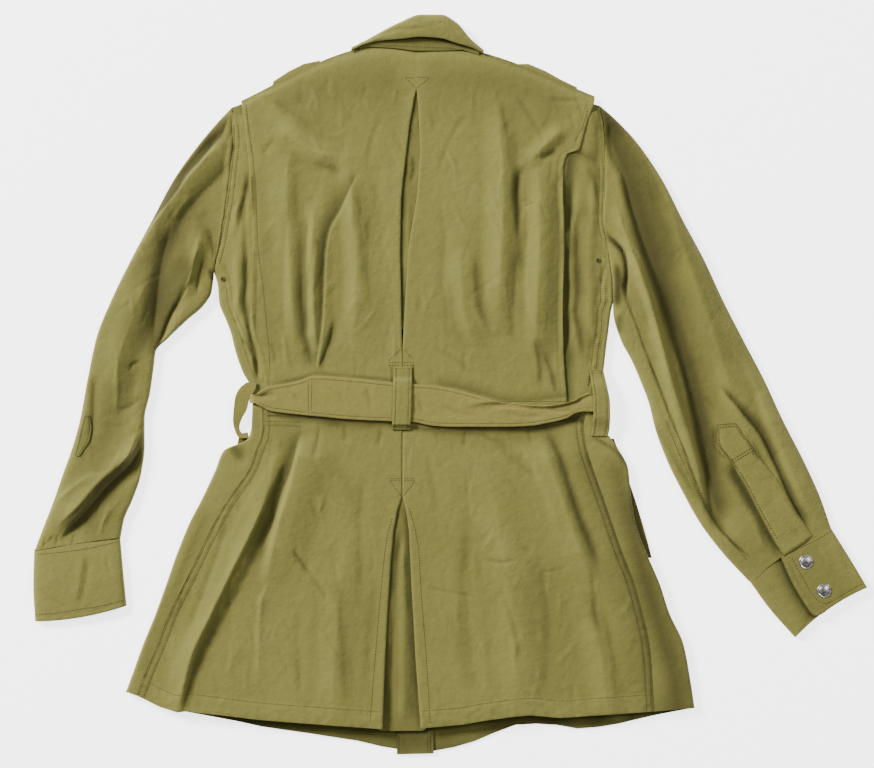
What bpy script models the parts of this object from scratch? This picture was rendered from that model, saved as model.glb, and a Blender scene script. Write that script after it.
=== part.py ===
"""A belted field jacket lying flat with its back up, built as cut and sewn pieces.

+Z is up, the floor is Z = 0 and the collar points to +Y. The wearer's left arm lies towards -X.
The pieces lie on each other in this order, from the floor: pockets, shoulder straps and the front
of the collar, then the fronts, then the side backs and the cloth inside the pleats, then the two
halves of the back and of its skirt, then the belt, then its loops.
"""

import bmesh
import bpy
import numpy as np
from mathutils import Vector
from mathutils.bvhtree import BVHTree

MM = 0.001

# Driving sizes, in mm
CLOTH = 1.3          # one layer of cotton cloth with its seam allowance
DOUBLE_CLOTH = 2.0   # cuffs, faced with a second layer
COLLAR_CLOTH = 1.8
BELT_CLOTH = 1.6
STRAP_CLOTH = 1.8
SEAM = 0.3           # open gap between two pieces that are sewn together
LAP = 0.5            # gap between a piece and one that lies on it
TURN = 2.6           # how far a flattened tube's rounded edge reaches in
WAIST_Y = -18.0      # waist seam, under the belt
ARMPIT_ROW = 8       # section of the fronts at which the side seam starts

# Heights of the upper faces, in mm
UNDER_TOP = 6.6                       # side backs and the cloth inside the pleats
OVER_TOP = UNDER_TOP + SEAM + CLOTH   # halves of the back and of its skirt
BELT_TOP = OVER_TOP + LAP + BELT_CLOTH

COTTON = (0.30, 0.27, 0.11)
BELT_COTTON = (0.34, 0.29, 0.11)
NICKEL = (0.55, 0.54, 0.52)

# How far the fronts are raised over what lies under them. Columns: y, lift.
LIFT = [(400, 2.1), (272, 2.1), (250, 0), (40, 0), (15, 1.9), (-200, 1.9), (-228, 0), (-400, 0)]

# Centre line of the back, open where the upper pleat gapes. Columns: y, left fold x, right fold x.
SLIT = [
    (361, -36, -36), (321, -36, -36), (302, -39, -34), (280, -43, -33), (254, -46, -32),
    (221, -50, -34), (200, -52, -36), (146, -53, -45), (92, -52, -48), (41, -51.2, -50.8),
    (-20, -51, -51),
]
# The same for the skirt's pleat, which opens from its stitched triangle to the hem.
PLEAT = [
    (-15, -51, -51), (-121, -51, -51), (-135, -56, -47), (-158, -60, -44), (-189, -63, -42.5),
    (-221, -65, -41), (-254, -67, -39), (-292, -69, -37), (-372, -72, -31),
]

# Armholes, from the shoulder to the armpit. Columns: x, y.
ARMHOLE_LEFT = [
    (-236, 300), (-235, 281), (-234, 262), (-236, 243), (-238, 224), (-242, 194), (-247, 165),
    (-251, 146), (-255, 132),
]
ARMHOLE_RIGHT = [
    (163, 302), (166, 281), (167.5, 260), (168, 238), (168, 217), (167, 196), (166.5, 182),
    (168, 169), (171.5, 157),
]

# Halves of the back. Columns: y on the centre line, side fold x and y, how far the section bows up
# at a third and at two thirds of its width, height of the cloth.
BACK_LEFT = [
    (361, -225, 307, 20, 14, 5.6), (352, -224, 299, 19, 13, OVER_TOP),
    (320, -221, 276, 12, 8, OVER_TOP), (280, -218, 250, 7, 5, OVER_TOP),
    (240, -216, 225, 4, 3, OVER_TOP), (200, -214, 195, 2, 1, OVER_TOP),
    (150, -213, 148, 0, 0, OVER_TOP), (100, -213, 100, 0, 0, OVER_TOP),
    (65, -215, 65, 0, 0, OVER_TOP), (40, -209, 43, 0, 0, OVER_TOP),
    (20, -202, 21, 0, 0, OVER_TOP), (-17.8, -198, -17.8, 0, 0, OVER_TOP),
]
BACK_RIGHT = [
    (361, 157, 312, 16, 11, 5.6), (352, 156, 304, 15, 10, OVER_TOP),
    (325, 151, 291, 12, 8, OVER_TOP), (300, 145, 272, 9, 6, OVER_TOP),
    (276, 139.5, 254, 6, 4, OVER_TOP), (268, 127, 249, 6, 4, OVER_TOP),
    (258, 123.5, 239, 5, 3, OVER_TOP), (225, 122, 208, 3, 2, OVER_TOP),
    (190, 124, 182, 1, 1, OVER_TOP), (150, 124, 148, 0, 0, OVER_TOP),
    (110, 123, 110, 0, 0, OVER_TOP), (75, 122, 75, 0, 0, OVER_TOP),
    (38, 123, 38, 0, 0, OVER_TOP), (-17.8, 127, -17.8, 0, 0, OVER_TOP),
]

# Side seams, from the armpit to the hem. Columns: x, y.
SEAM_LEFT = [
    (-247, 127), (-242, 108), (-240, 89), (-233, 70), (-227, 55), (-222.5, 40), (-214, 15),
    (-207, -4), (-203, -17.8), (-202, -45), (-204, -57), (-209, -70), (-216, -90), (-237, -121),
    (-253, -147), (-269, -179), (-285, -212), (-301, -244), (-315, -280), (-328, -310),
    (-338, -335),
]
SEAM_RIGHT = [
    (165, 150), (171, 115), (171, 92), (167, 79), (166, 59), (163, 40), (160, 15),
    (157, -4), (151, -17.8), (145, -45), (146, -57), (148.5, -70), (155, -90), (166, -121),
    (175, -147), (186, -179), (199, -212), (208, -244), (216, -280), (219, -312), (221, -352.5),
]

# Fronts, from the shoulder to the hem. Columns: y on the front edge, side x and y, how far the
# section bows up at a third and at two thirds. From the armpit on, a row faces one of the seam's.
FRONT_LEFT = [
    (300, -236, 300, 48, 32), (285, -235, 281, 40, 24), (264, -234, 262, 24, 14),
    (245, -236, 243, 10, 6), (224, -238, 224, 4, 2), (194, -242, 194, 0, 0),
    (165, -247, 165, 0, 0), (146, -251, 146, 0, 0), (127, -255, 127, 0, 0),
    (108, -250.5, 108, 0, 0), (89, -249, 89, 0, 0), (70, -241.5, 70, 0, 0),
    (55, -236, 55, 0, 0), (40, -232.5, 40, 0, 0), (15, -224, 15, 0, 0),
    (-4, -214.5, -4, 0, 0), (-17.8, -213, -17.8, 0, 0), (-45, -214, -45, 0, 0),
    (-57, -218, -58, 0, 0), (-72, -244, -71, 0, 0), (-92, -253, -92, 0, 0),
    (-128, -268, -124, 0, 0), (-155, -280, -147, 0, 0), (-195, -294, -181, 0, 0),
    (-230, -306, -215, 0, 0), (-268, -318, -248, 0, 0), (-310, -331, -280, 0, 0),
    (-355, -343, -313, 0, 0), (-395, -350, -332, 0, 0),
]
FRONT_RIGHT = [
    (300, 163, 302, 42, 26), (285, 166, 281, 36, 20), (264, 167.5, 260, 20, 10),
    (245, 168, 238, 8, 4), (219, 168, 217, 2, 1), (196, 167, 196, 0, 0),
    (182, 166.5, 182, 0, 0), (169, 168, 169, 0, 0), (150, 171.5, 150, 0, 0),
    (115, 176.5, 115, 0, 0), (92, 177, 92, 0, 0), (79, 174.5, 79, 0, 0),
    (59, 172, 59, 0, 0), (40, 169.5, 40, 0, 0), (15, 166.5, 15, 0, 0),
    (-4, 164, -4, 0, 0), (-17.8, 163.5, -17.8, 0, 0), (-45, 164.5, -45, 0, 0),
    (-57, 171, -58, 0, 0), (-72, 183, -70, 0, 0), (-92, 193, -90, 0, 0),
    (-128, 199.5, -124, 0, 0), (-155, 205, -150, 0, 0), (-195, 217, -184, 0, 0),
    (-230, 227, -214, 0, 0), (-268, 238, -247, 0, 0), (-310, 253, -280, 0, 0),
    (-355, 260, -316, 0, 0), (-396, 265, -349, 0, 0),
]
FRONT_EDGE_LEFT, FRONT_EDGE_RIGHT = -21.0, -18.0

# Hems, from the side to the middle. Columns: x, y.
HEM_FRONT_LEFT = [
    (-350, -332), (-293, -352), (-233, -363), (-201, -370), (-151, -377), (-99, -385), (-57, -395),
    (-21, -396),
]
HEM_FRONT_RIGHT = [
    (-18, -396), (1, -393), (42, -381), (59, -369), (87, -366), (119, -368), (140, -372),
    (171, -369), (223, -357), (265, -349),
]
HEM_BACK_LEFT = [
    (-338, -335), (-313, -347), (-293, -353), (-285, -352), (-246, -356), (-205, -361),
    (-140, -366), (-72, -371),
]
HEM_BACK_RIGHT = [
    (-31, -370), (-17, -369), (15, -366), (37, -362), (66, -358), (87, -356), (119, -359),
    (160, -356), (221, -352.5),
]

# Sleeves, from the armhole to the cuff. Columns: outer x and y, inner x and y, height of the
# crown, how much of the armhole's curve the section keeps, how far its middle bows to the cuff.
SLEEVE_LEFT = [
    (-236, 300, -255, 132, UNDER_TOP, 1.0, 0), (-252, 283, -259, 120, 7.5, 0.6, 0),
    (-276, 254, -260, 101, 9, 0.3, 0), (-299, 221, -266, 86, 10, 0.1, 0),
    (-322, 178, -284, 70, 10, 0, 0), (-345, 135, -304, 51, 9, 0, 0),
    (-366, 92, -318, 36, 9, 0, 0), (-382, 52, -320, 20, 9, 0, 0), (-392, 5, -324, -8, 9, 0, 0),
    (-400, -38, -330, -38, 9, 0, 0), (-409, -70, -330, -66, 9, 0, 0),
    (-418, -95, -334, -97, 9, 0, 0), (-428, -124, -343, -124, 9, 0, 0),
    (-440, -155, -352, -145, 8.5, 0, 0), (-449, -179, -356, -165, 8, 0, 1),
]
SLEEVE_RIGHT = [
    (163, 302, 171.5, 157, UNDER_TOP, 1.0, 0), (180, 287, 175.5, 138, 7.5, 0.6, 0),
    (204, 261, 179, 110, 9, 0.3, 0), (231, 221, 180, 78, 10, 0.1, 0),
    (253, 178, 185, 50, 10, 0, 0), (276, 135, 197, 27, 9, 0, 0), (296, 92, 207, 4, 9, 0, 0),
    (318, 49, 216, -20, 9, 0, 0), (341, 5, 223, -48, 9, 0, 0), (361, -38, 237, -85, 9, 0, 0),
    (383, -81, 253, -117, 9, 0, 0), (400, -118, 271, -149, 9, 0, 0),
    (408, -140, 296, -182, 8.5, 0, 1), (413, -155, 325, -213, 8, 0, 4),
]

# Folds that stand out of the cloth, walked from top to bottom. Columns: height, width on the
# right hand, width on the left hand, crest.
FOLDS_BACK_LEFT = [
    (6, 12, 24, [(-147, 190), (-149, 130), (-147, 70), (-143, 20)]),
    (4, 28, 14, [(-176, 250), (-175, 180), (-172, 110), (-168, 40)]),
    (5, 18, 34, [(-110, 240), (-104, 180), (-100, 110), (-104, 50)]),
    (4, 20, 20, [(-185, 285), (-150, 255), (-120, 242)]),
]
FOLDS_BACK_RIGHT = [
    (5, 26, 18, [(52, 300), (58, 220), (56, 150), (52, 70)]),
    (6, 16, 26, [(96, 235), (97, 170), (95, 100), (92, 40)]),
    (4, 12, 16, [(84, 240), (102, 258), (124, 278)]),
    (4, 24, 24, [(10, 150), (14, 90), (26, 40)]),
]
FOLDS_SKIRT_LEFT = [
    (6, 38, 13, [(-186, -75), (-203, -135), (-220, -178), (-250, -238), (-280, -297), (-294, -350)]),
    (6, 12, 40, [(-150, -38), (-163, -92), (-182, -157), (-198, -210)]),
    (3, 26, 26, [(-112, -170), (-122, -260), (-128, -366)]),
]
FOLDS_SKIRT_RIGHT = [
    (5, 36, 15, [(93, -49), (111, -92), (124, -130), (139, -173), (152, -215)]),
    (3, 30, 30, [(40, -90), (62, -200), (76, -360)]),
    (3, 26, 20, [(150, -250), (165, -300), (172, -356)]),
]
FOLDS_SLEEVE_LEFT = [
    (6, 10, 30, [(-243, 262), (-262, 246), (-279, 226), (-296, 205), (-318, 180), (-334, 152)]),
    (5, 26, 24, [(-318, 130), (-340, 80), (-358, 20), (-364, -30)]),
    (4, 16, 14, [(-268, 170), (-276, 130), (-290, 92)]),
    (6, 32, 12, [(-337, -52), (-348, -74), (-364, -92), (-380, -108), (-398, -132), (-424, -158)]),
]
FOLDS_SLEEVE_RIGHT = [
    (5, 16, 12, [(190, 166), (200, 136), (215, 88), (228, 40), (242, -20), (262, -84)]),
    (7, 22, 32, [(238, 190), (262, 120), (286, 52), (306, -12), (330, -70)]),
    (4, 12, 18, [(338, -16), (355, -59), (373, -103), (388, -132)]),
]

# Cuffs, from the sleeve to the open end. Columns: outer x and y, inner x and y, height, how far
# the middle bows, and on the lapped one the share of the width that its tab covers.
CUFF_LEFT = [
    (-449, -180, -356, -166, 7.5, 1), (-450, -216, -352.5, -203, 9, -1),
    (-448, -256, -349, -239, 8, -4),
]
CUFF_RIGHT = [
    (413.2, -156, 325.4, -213.8, 8.2, 4, 0.60), (432, -186, 346, -242, 8.6, 5, 0.66),
    (451.5, -218.5, 373.5, -273, 8.2, 5, 0.70),
]
TAB_UNDER_TOP = 5.6  # the cuff's end under the tab

# Strips that face the sleeve openings. Columns: left x and y, right x and y.
PLACKET_LEFT = [
    (-393, -33, -388, -33), (-397, -45, -385, -46), (-400, -60, -388, -61), (-404, -76, -399, -77),
]
PLACKET_RIGHT = [
    (290, -44, 308, -42), (289, -62, 323, -60), (304, -84, 330, -72), (319, -108, 341, -95),
    (335, -140, 356, -130), (356, -174, 376, -163),
]

# Collar, from the left to the right end. Columns: x, edge of the leaf y, fold y, y where its
# front half ends under the fronts, height.
COLLAR = [
    (-106, 360, 365, 348, 9.5), (-94, 366, 370.5, 325, 10.5), (-75, 371, 381, 306, 12),
    (-53, 373, 392, 300, 14), (-31, 375, 400, 304, 15), (-9, 373.5, 400, 300, 15),
    (7, 368.5, 392, 304, 14), (23, 364, 374, 325, 12), (37, 357, 362, 346, 9.5),
]

# Belt from its seam on the wearer's left. Columns: x, upper edge y, lower edge y, height.
BELT_SEAM_X = -152.0
BELT_BACK_LEFT = [
    (-152, 8.5, -33, 0), (-161, 5, -32, 0), (-180, 1, -30, 0), (-193, -1, -28, 0),
    (-201, -4, -25, 0), (-208, -8, -22, 0),
]
BELT_BACK_RIGHT = [
    (-152, 8.5, -33, 0), (-145, 10, -33.5, 0), (-107, 7.5, -37, 0), (-64, 3, -39, 0),
    (-39, 1, -40, 0), (-17, -0.5, -44, 0), (7, -5, -45, 0.5), (33, -12, -45, 1.5),
    (60, -19.5, -45, 2), (86, -21.5, -44, 2), (110, -21.5, -40, 2), (126, -19, -36, 1.5),
    (137, -14.6, -30, 1), (148, -10, -28.6, 0.5), (160, -8, -28.6, 0),
]
BELT_FRONT_Y = (0.0, -42.0)   # upper and lower edge of the run under the fronts
BELT_TIP_Y = (-10.0, -23.0)   # edges where it turns round the wearer's left side
BELT_TURN_LEFT, BELT_TURN_RIGHT = -216.0, 168.5

# Belt loops. Columns: left x, right x, y, underside height.
LOOP_CENTRE = [
    (-60.5, -40.5, 19.5, 8.6), (-60.5, -40.5, 10, 9.2), (-60.7, -40.7, 4, BELT_TOP + 0.4),
    (-61, -41, -18, BELT_TOP + 0.8), (-62, -42, -42, BELT_TOP + 0.4), (-62.4, -42.2, -45, 9.4),
    (-62.6, -42.4, -48, 8.6),
]
LOOP_RIGHT = [
    (151, 166, 17, 7.2), (152, 167.4, 10, 8.5), (153.5, 170, -2, BELT_TOP + 0.5),
    (155, 173, -20, BELT_TOP + 0.9), (155, 173.2, -34, BELT_TOP + 0.5), (154, 172.8, -46, 9.4),
    (152.5, 171, -55, 8.8),
]
# Left loop, drooping beside the jacket. Columns: outer x and y, inner x and y, height.
LOOP_LEFT = [
    (-219, 3, -208, 2, 9.2), (-226, -3, -212, -4, 9.2), (-231, -12, -218.5, -13, 8.6),
    (-233, -25, -221.5, -26, 7.4), (-234, -38, -226.5, -35, 6), (-232, -49, -228.5, -45, 5),
    (-224.5, -59, -223.5, -54, 5), (-219.5, -55.5, -220, -50, 5),
]

# Flat pieces on the floor. Columns: outer x and y, inner x and y.
STRAP_LEFT = [
    (-190, 328, -208, 285), (-173, 339, -190, 297), (-157, 347, -172, 307), (-140, 350.5, -152, 312),
]
STRAP_RIGHT = [
    (68, 346.5, 85, 308), (85, 347, 98, 305), (103, 339.5, 112, 298), (120, 330, 124, 290),
    (138, 321.5, 128, 283),
]
POCKET_LEFT = [(-228, -56, -70, -56), (-240, -120, -82, -120), (-262, -188, -104, -192)]
POCKET_RIGHT = [
    (178, -58, 22, -58), (199, -118, 43, -118), (211, -157, 52, -157), (219, -187, 60, -190),
]


def clear_scene():
    for item in list(bpy.data.objects):
        bpy.data.objects.remove(item, do_unlink=True)


def make_collection(name):
    collection = bpy.data.collections.new(name)
    bpy.context.scene.collection.children.link(collection)
    return collection


def make_material(name, colour, roughness, metallic):
    material = bpy.data.materials.new(name)
    material.use_nodes = True
    shader = material.node_tree.nodes["Principled BSDF"]
    shader.inputs["Base Color"].default_value = (*colour, 1.0)
    shader.inputs["Roughness"].default_value = roughness
    shader.inputs["Metallic"].default_value = metallic
    return material


def between(rows, count):
    """Rows of a table with count - 1 more between each two, on the straight line."""
    rows = np.array(rows, float)
    at = np.linspace(0, len(rows) - 1, (len(rows) - 1) * count + 1)
    return np.stack([np.interp(at, np.arange(len(rows)), column) for column in rows.T], axis=1)


def read_at(table, where, column, key=0):
    """A column of a table, read between its rows at a value of its key column."""
    table = np.array(sorted(table, key=lambda row: row[key]), float)
    return np.interp(where, table[:, key], table[:, column])


def bow(share, third, two_thirds):
    """Offset along a section that passes through the two given values and ends in nothing."""
    middle = 13.5 * share * (1 - share)
    return middle * ((2 / 3 - share) * third + (share - 1 / 3) * two_thirds)


def fold_height(x, y, folds):
    """Height of the folds at x, y: each falls off from its crest and fades at its two ends."""
    total = np.zeros_like(x)
    for height, right_width, left_width, crest in folds:
        crest = np.array(crest, float)
        best = np.full_like(x, 1e9)
        found = np.zeros_like(x)
        run = np.concatenate([[0], np.cumsum(np.hypot(*np.diff(crest, axis=0).T))])
        for step in range(len(crest) - 1):
            start, way = crest[step], crest[step + 1] - crest[step]
            length = np.hypot(*way)
            along = np.clip(((x - start[0]) * way[0] + (y - start[1]) * way[1]) / length**2, 0, 1)
            off_x = x - start[0] - along * way[0]
            off_y = y - start[1] - along * way[1]
            away = np.hypot(off_x, off_y)
            left = way[0] * off_y - way[1] * off_x > 0
            falls = away / np.where(left, left_width, right_width)
            share = (run[step] + along * length) / run[-1]
            ends = np.clip(np.minimum(share, 1 - share) * 5, 0, 1)
            value = height * (1 - np.clip(falls, 0, 1) ** 2) ** 2 * (0.25 + 0.75 * ends)
            nearer = away < best
            best = np.where(nearer, away, best)
            found = np.where(nearer, value, found)
        total = total + found
    return total


def belt_fade(y):
    """Folds lie down where the belt holds the cloth."""
    return np.clip((np.abs(y + 20) - 32) / 26, 0, 1)


def skin(name, points, collection, colour=COTTON, thick=CLOTH, flip=False, tube=False, keep=None):
    """A sheet through a grid of points, rows by columns, with its wall grown inwards."""
    rows, columns = points.shape[:2]
    work = bmesh.new()
    bmesh.ops.create_grid(work, x_segments=columns - 1, y_segments=rows - 1, size=0.5)
    work.verts.ensure_lookup_table()
    for vert, place in zip(work.verts, points.reshape(-1, 3)):
        vert.co = Vector(place) * MM
    if keep is not None:
        lost = [vert for vert in work.verts if not keep(*divmod(vert.index, columns))]
        bmesh.ops.delete(work, geom=lost, context="VERTS")
    if tube:
        bmesh.ops.remove_doubles(work, verts=work.verts, dist=1e-6)
    if flip:
        bmesh.ops.reverse_faces(work, faces=work.faces)
    mesh = bpy.data.meshes.new(name)
    work.to_mesh(mesh)
    work.free()
    mesh.shade_smooth()
    piece = bpy.data.objects.new(name, mesh)
    collection.objects.link(piece)
    wall = piece.modifiers.new("Wall", "SOLIDIFY")
    wall.thickness = thick * MM
    wall.offset = -1
    wall.use_even_offset = True
    wall.use_quality_normals = True
    piece.data.materials.append(make_material(name, colour, 0.85, 0.0))
    return piece


def ruled(rows, columns):
    """Plan points between two edges. Columns of rows: first x and y, second x and y."""
    share = np.linspace(0, 1, columns)[None, :]
    x = rows[:, 0:1] * (1 - share) + rows[:, 2:3] * share
    y = rows[:, 1:2] * (1 - share) + rows[:, 3:4] * share
    return x, y


def follow_hem(x, y, hem, reach):
    """Bring the last row to the hem, and the rows near it by a fading share."""
    gap = read_at(hem, x[-1], 1) - y[-1]
    count = len(y)
    for row in range(count):
        y[row] += gap * max(0.0, 1 - (count - 1 - row) / reach) ** 2
    return y


def back_half(name, side, collection):
    """Half of the back, from the neck and shoulder to the waist, with its free side fold."""
    table = BACK_LEFT if side < 0 else BACK_RIGHT
    folds = FOLDS_BACK_LEFT if side < 0 else FOLDS_BACK_RIGHT
    rows = between(table, 2)
    fold_x = read_at(SLIT, rows[:, 0], 1 if side < 0 else 2) + side * SEAM / 2
    plan = np.stack([fold_x, rows[:, 0], rows[:, 1], rows[:, 2]], axis=1)
    columns = 13
    x, y = ruled(plan, columns)
    y = y + bow(np.linspace(0, 1, columns)[None, :], rows[:, 3:4], rows[:, 4:5])
    z = rows[:, 5:6] + fold_height(x, y, folds) * belt_fade(y)
    return skin(name, np.stack([x, y, z], axis=2), collection, flip=side > 0)


def side_back(name, side, collection):
    """Under layer between the armhole, the side seam and the back's pleat."""
    armhole = ARMHOLE_LEFT if side < 0 else ARMHOLE_RIGHT
    seam = SEAM_LEFT if side < 0 else SEAM_RIGHT
    inner_x = [(300, -190), (130, -182), (55, -183), (-18, -166)]
    if side > 0:
        inner_x = [(300, 112), (250, 96), (-18, 92)]
    edge = np.array([row for row in armhole] + [row for row in seam if row[1] >= WAIST_Y])
    edge[0, 1] -= 5
    edge[:, 0] -= side * SEAM / 2
    inside = np.stack([read_at(inner_x, edge[:, 1], 1), edge[:, 1]], axis=1)
    inside[0, 1] -= 14
    inside[1, 1] -= 6
    x, y = ruled(np.concatenate([inside, edge], axis=1), 6)
    return skin(name, np.stack([x, y, np.full_like(x, UNDER_TOP)], axis=2), collection, flip=side > 0)


def underlay(name, rows, collection):
    """Cloth inside a pleat, flat under its two folds. Columns: left x and y, right x and y."""
    x, y = ruled(between(rows, 1), 3)
    return skin(name, np.stack([x, y, np.full_like(x, UNDER_TOP)], axis=2), collection, flip=True)


def skirt_half(name, side, collection):
    """Half of the back's skirt, from the waist to the hem, beside the pleat."""
    seam = np.array([row for row in (SEAM_LEFT if side < 0 else SEAM_RIGHT) if row[1] <= WAIST_Y + 1])
    seam[0, 1] = WAIST_Y - SEAM / 2
    seam[:, 0] -= side * SEAM / 2
    last = -371 if side < 0 else -370
    spread = (seam[:, 1] - seam[0, 1]) / (seam[-1, 1] - seam[0, 1])
    centre_y = seam[0, 1] + spread * (last - seam[0, 1])
    centre_x = read_at(PLEAT, centre_y, 1 if side < 0 else 2) + side * SEAM / 2
    x, y = ruled(np.stack([centre_x, centre_y, seam[:, 0], seam[:, 1]], axis=1), 13)
    y = follow_hem(x, y, HEM_BACK_LEFT if side < 0 else HEM_BACK_RIGHT, 3)
    folds = FOLDS_SKIRT_LEFT if side < 0 else FOLDS_SKIRT_RIGHT
    edge = np.linspace(0, 1, 13)[None, :]
    z = OVER_TOP + fold_height(x, y, folds) * belt_fade(y) * np.clip((1 - edge) * 8, 0, 1)
    return skin(name, np.stack([x, y, z], axis=2), collection, flip=side > 0)


def front(name, side, collection):
    """A front: flat on the floor, turned round the side and sewn to the back at the side seam."""
    table = np.array(FRONT_LEFT if side < 0 else FRONT_RIGHT, float)
    seam = np.array(SEAM_LEFT if side < 0 else SEAM_RIGHT, float)
    edge_x = FRONT_EDGE_LEFT if side < 0 else FRONT_EDGE_RIGHT
    hem = HEM_FRONT_LEFT if side < 0 else HEM_FRONT_RIGHT
    flat_columns, strip_columns = 7, 2
    share = np.linspace(0, 1, flat_columns)
    sections = []
    for row, (centre_y, side_x, side_y, third, two_thirds) in enumerate(table):
        turned = row >= ARMPIT_ROW
        sewn = seam[row - ARMPIT_ROW] if turned else np.array([side_x - side * 9, side_y])
        low = float(read_at(LIFT, side_y, 1))
        top = OVER_TOP if sewn[1] < WAIST_Y + 1 else UNDER_TOP
        half = (top - low) / 2
        inward = np.sign(sewn[0] - side_x)
        start_x = side_x + inward * min(half, 3.2) if turned else side_x + inward * 0.8
        x = edge_x + share * (start_x - edge_x)
        y = centre_y + share * (side_y - centre_y) + bow(share, third, two_thirds)
        section = [[px, py, float(read_at(LIFT, py, 1))] for px, py in zip(x, y)]
        for angle in np.radians([45, 90, 135, 180]):
            reach = side_x + inward * min(half, 3.2) * (1 - np.sin(angle))
            section.append([reach, side_y, low + half * (1 - np.cos(angle))])
        end_x = sewn[0] + side * SEAM / 2
        for step in range(1, strip_columns + 1):
            part = step / strip_columns
            px = section[flat_columns + 3][0] * (1 - part) + end_x * part
            py = side_y * (1 - part) + sewn[1] * part
            section.append([px, py, top])
        sections.append(section)
    points = np.array(sections, float)
    flat = points[:, :flat_columns]
    flat[:, :, 1] = follow_hem(flat[:, :, 0], flat[:, :, 1], hem, 4)

    def keep(row, column):
        return column < flat_columns or row >= ARMPIT_ROW

    return skin(name, points, collection, flip=side < 0, keep=keep)


def front_band(collection):
    """Band down the right front's edge, lapped over the left front, with its tail at the hem."""
    ends = (262, 250, 160, 40, 15, -100, -200, -228, -320, -399.5)
    rows = np.array([(-57, y, -17, y) for y in ends], float)
    rows[-1, 3] = -398.5
    x, y = ruled(rows, 3)
    z = read_at(LIFT, y, 1) + CLOTH + LAP + CLOTH
    return skin("front_band", np.stack([x, y, z], axis=2), collection, flip=True)


def tube_sections(rows, shares, armhole=None, push=0.0, folds=()):
    """Sections of a flattened tube: over the top from its outer to its inner edge, then back
    along the floor. rows has outer x and y, inner x and y, height, armhole share and bow."""
    sections = []
    for outer_x, outer_y, inner_x, inner_y, top, kept, bowed in rows:
        start, end = np.array([outer_x, outer_y]), np.array([inner_x, inner_y])
        across = end - start
        length = np.hypot(*across)
        line = start + shares[:, None] * across
        if armhole is not None and kept:
            chord = armhole[0] + shares[:, None] * (armhole[-1] - armhole[0])
            line = line + kept * (armhole - chord)
        normal = np.array([-across[1], across[0]]) / length
        if normal[1] > 0:
            normal = -normal
        line = line - np.outer(4 * shares * (1 - shares) * bowed, normal)
        line[:, 0] += push
        inset_first = line[0] + (line[1] - line[0]) * TURN / np.hypot(*(line[1] - line[0]))
        inset_last = line[-1] + (line[-2] - line[-1]) * TURN / np.hypot(*(line[-2] - line[-1]))
        inner = np.vstack([inset_first, line[1:-1], inset_last])
        crown = np.full(len(inner), float(top))
        crown += fold_height(inner[:, 0], inner[:, 1], folds) * (0 if kept == 1.0 else 1)
        crown[[0, -1]] = top * 0.86
        over = np.column_stack([inner, crown])
        under = np.column_stack([inner[::-1], np.zeros(len(inner))])
        first_side = [[*line[0], top * 0.42]]
        last_side = [[*line[-1], top * 0.42]]
        sections.append(np.vstack([first_side, over, last_side, under, first_side]))
    return np.array(sections)


def sleeve(name, side, collection):
    """Sleeve: one flattened tube from the armhole to the cuff."""
    armhole = np.array(ARMHOLE_LEFT if side < 0 else ARMHOLE_RIGHT, float)
    steps = np.hypot(*np.diff(armhole, axis=0).T)
    shares = np.concatenate([[0], np.cumsum(steps)]) / steps.sum()
    table = between(SLEEVE_LEFT if side < 0 else SLEEVE_RIGHT, 2)
    folds = FOLDS_SLEEVE_LEFT if side < 0 else FOLDS_SLEEVE_RIGHT
    points = tube_sections(table, shares, armhole, side * SEAM, folds)
    return skin(name, points, collection, tube=True, flip=side < 0)


def cuff_left(collection):
    """Plain side of a cuff: a closed band, its lap on the underside."""
    rows = between([(*row[:5], 0, row[5]) for row in CUFF_LEFT], 2)
    shares = np.linspace(0, 1, 7)
    points = tube_sections(rows, shares)
    points[:, :, 1] -= SEAM
    return skin("cuff_left", points, collection, thick=DOUBLE_CLOTH, tube=True, flip=True)


def cuff_right(collection):
    """Cuff wrapped round once, its tab lapped over its other end."""
    sections = []
    for outer_x, outer_y, inner_x, inner_y, top, bowed, tab in between(CUFF_RIGHT, 2):
        start, end = np.array([outer_x, outer_y]), np.array([inner_x, inner_y])
        across = end - start
        length = np.hypot(*across)
        up = np.array([across[1], -across[0]]) / length
        turn = TURN / length

        def place(share, z):
            spot = start + share * across + up * 4 * share * (1 - share) * bowed
            return [*spot, z]

        section = [place(share, TAB_UNDER_TOP) for share in np.linspace(0.34, 1 - turn, 5)]
        section.append(place(1, TAB_UNDER_TOP / 2))
        section += [place(share, 0) for share in np.linspace(1 - turn, turn, 5)]
        section.append(place(0, top * 0.45))
        section += [place(share, top) for share in np.linspace(turn * 1.3, tab, 5)]
        sections.append(section)
    return skin("cuff_right", np.array(sections, float), collection, thick=DOUBLE_CLOTH)


def surface_under(piece):
    """Search tree of a finished piece, walls included."""
    shown = piece.evaluated_get(bpy.context.evaluated_depsgraph_get())
    work = bmesh.new()
    work.from_mesh(shown.to_mesh())
    tree = BVHTree.FromBMesh(work)
    work.free()
    shown.to_mesh_clear()
    return tree


def placket(name, rows, carrier, columns, collection):
    """Facing strip laid on a sleeve: its points are the sleeve's, moved out."""
    tree = surface_under(carrier)
    x, y = ruled(between(rows, 2), columns)
    z = np.zeros_like(x)
    for index in np.ndindex(x.shape):
        above = Vector((x[index] * MM, y[index] * MM, 0.1))
        hit = tree.ray_cast(above, Vector((0, 0, -1)))[0]
        z[index] = hit.z / MM + 0.8 + CLOTH
    return skin(name, np.stack([x, y, z], axis=2), collection, flip=True)


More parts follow.
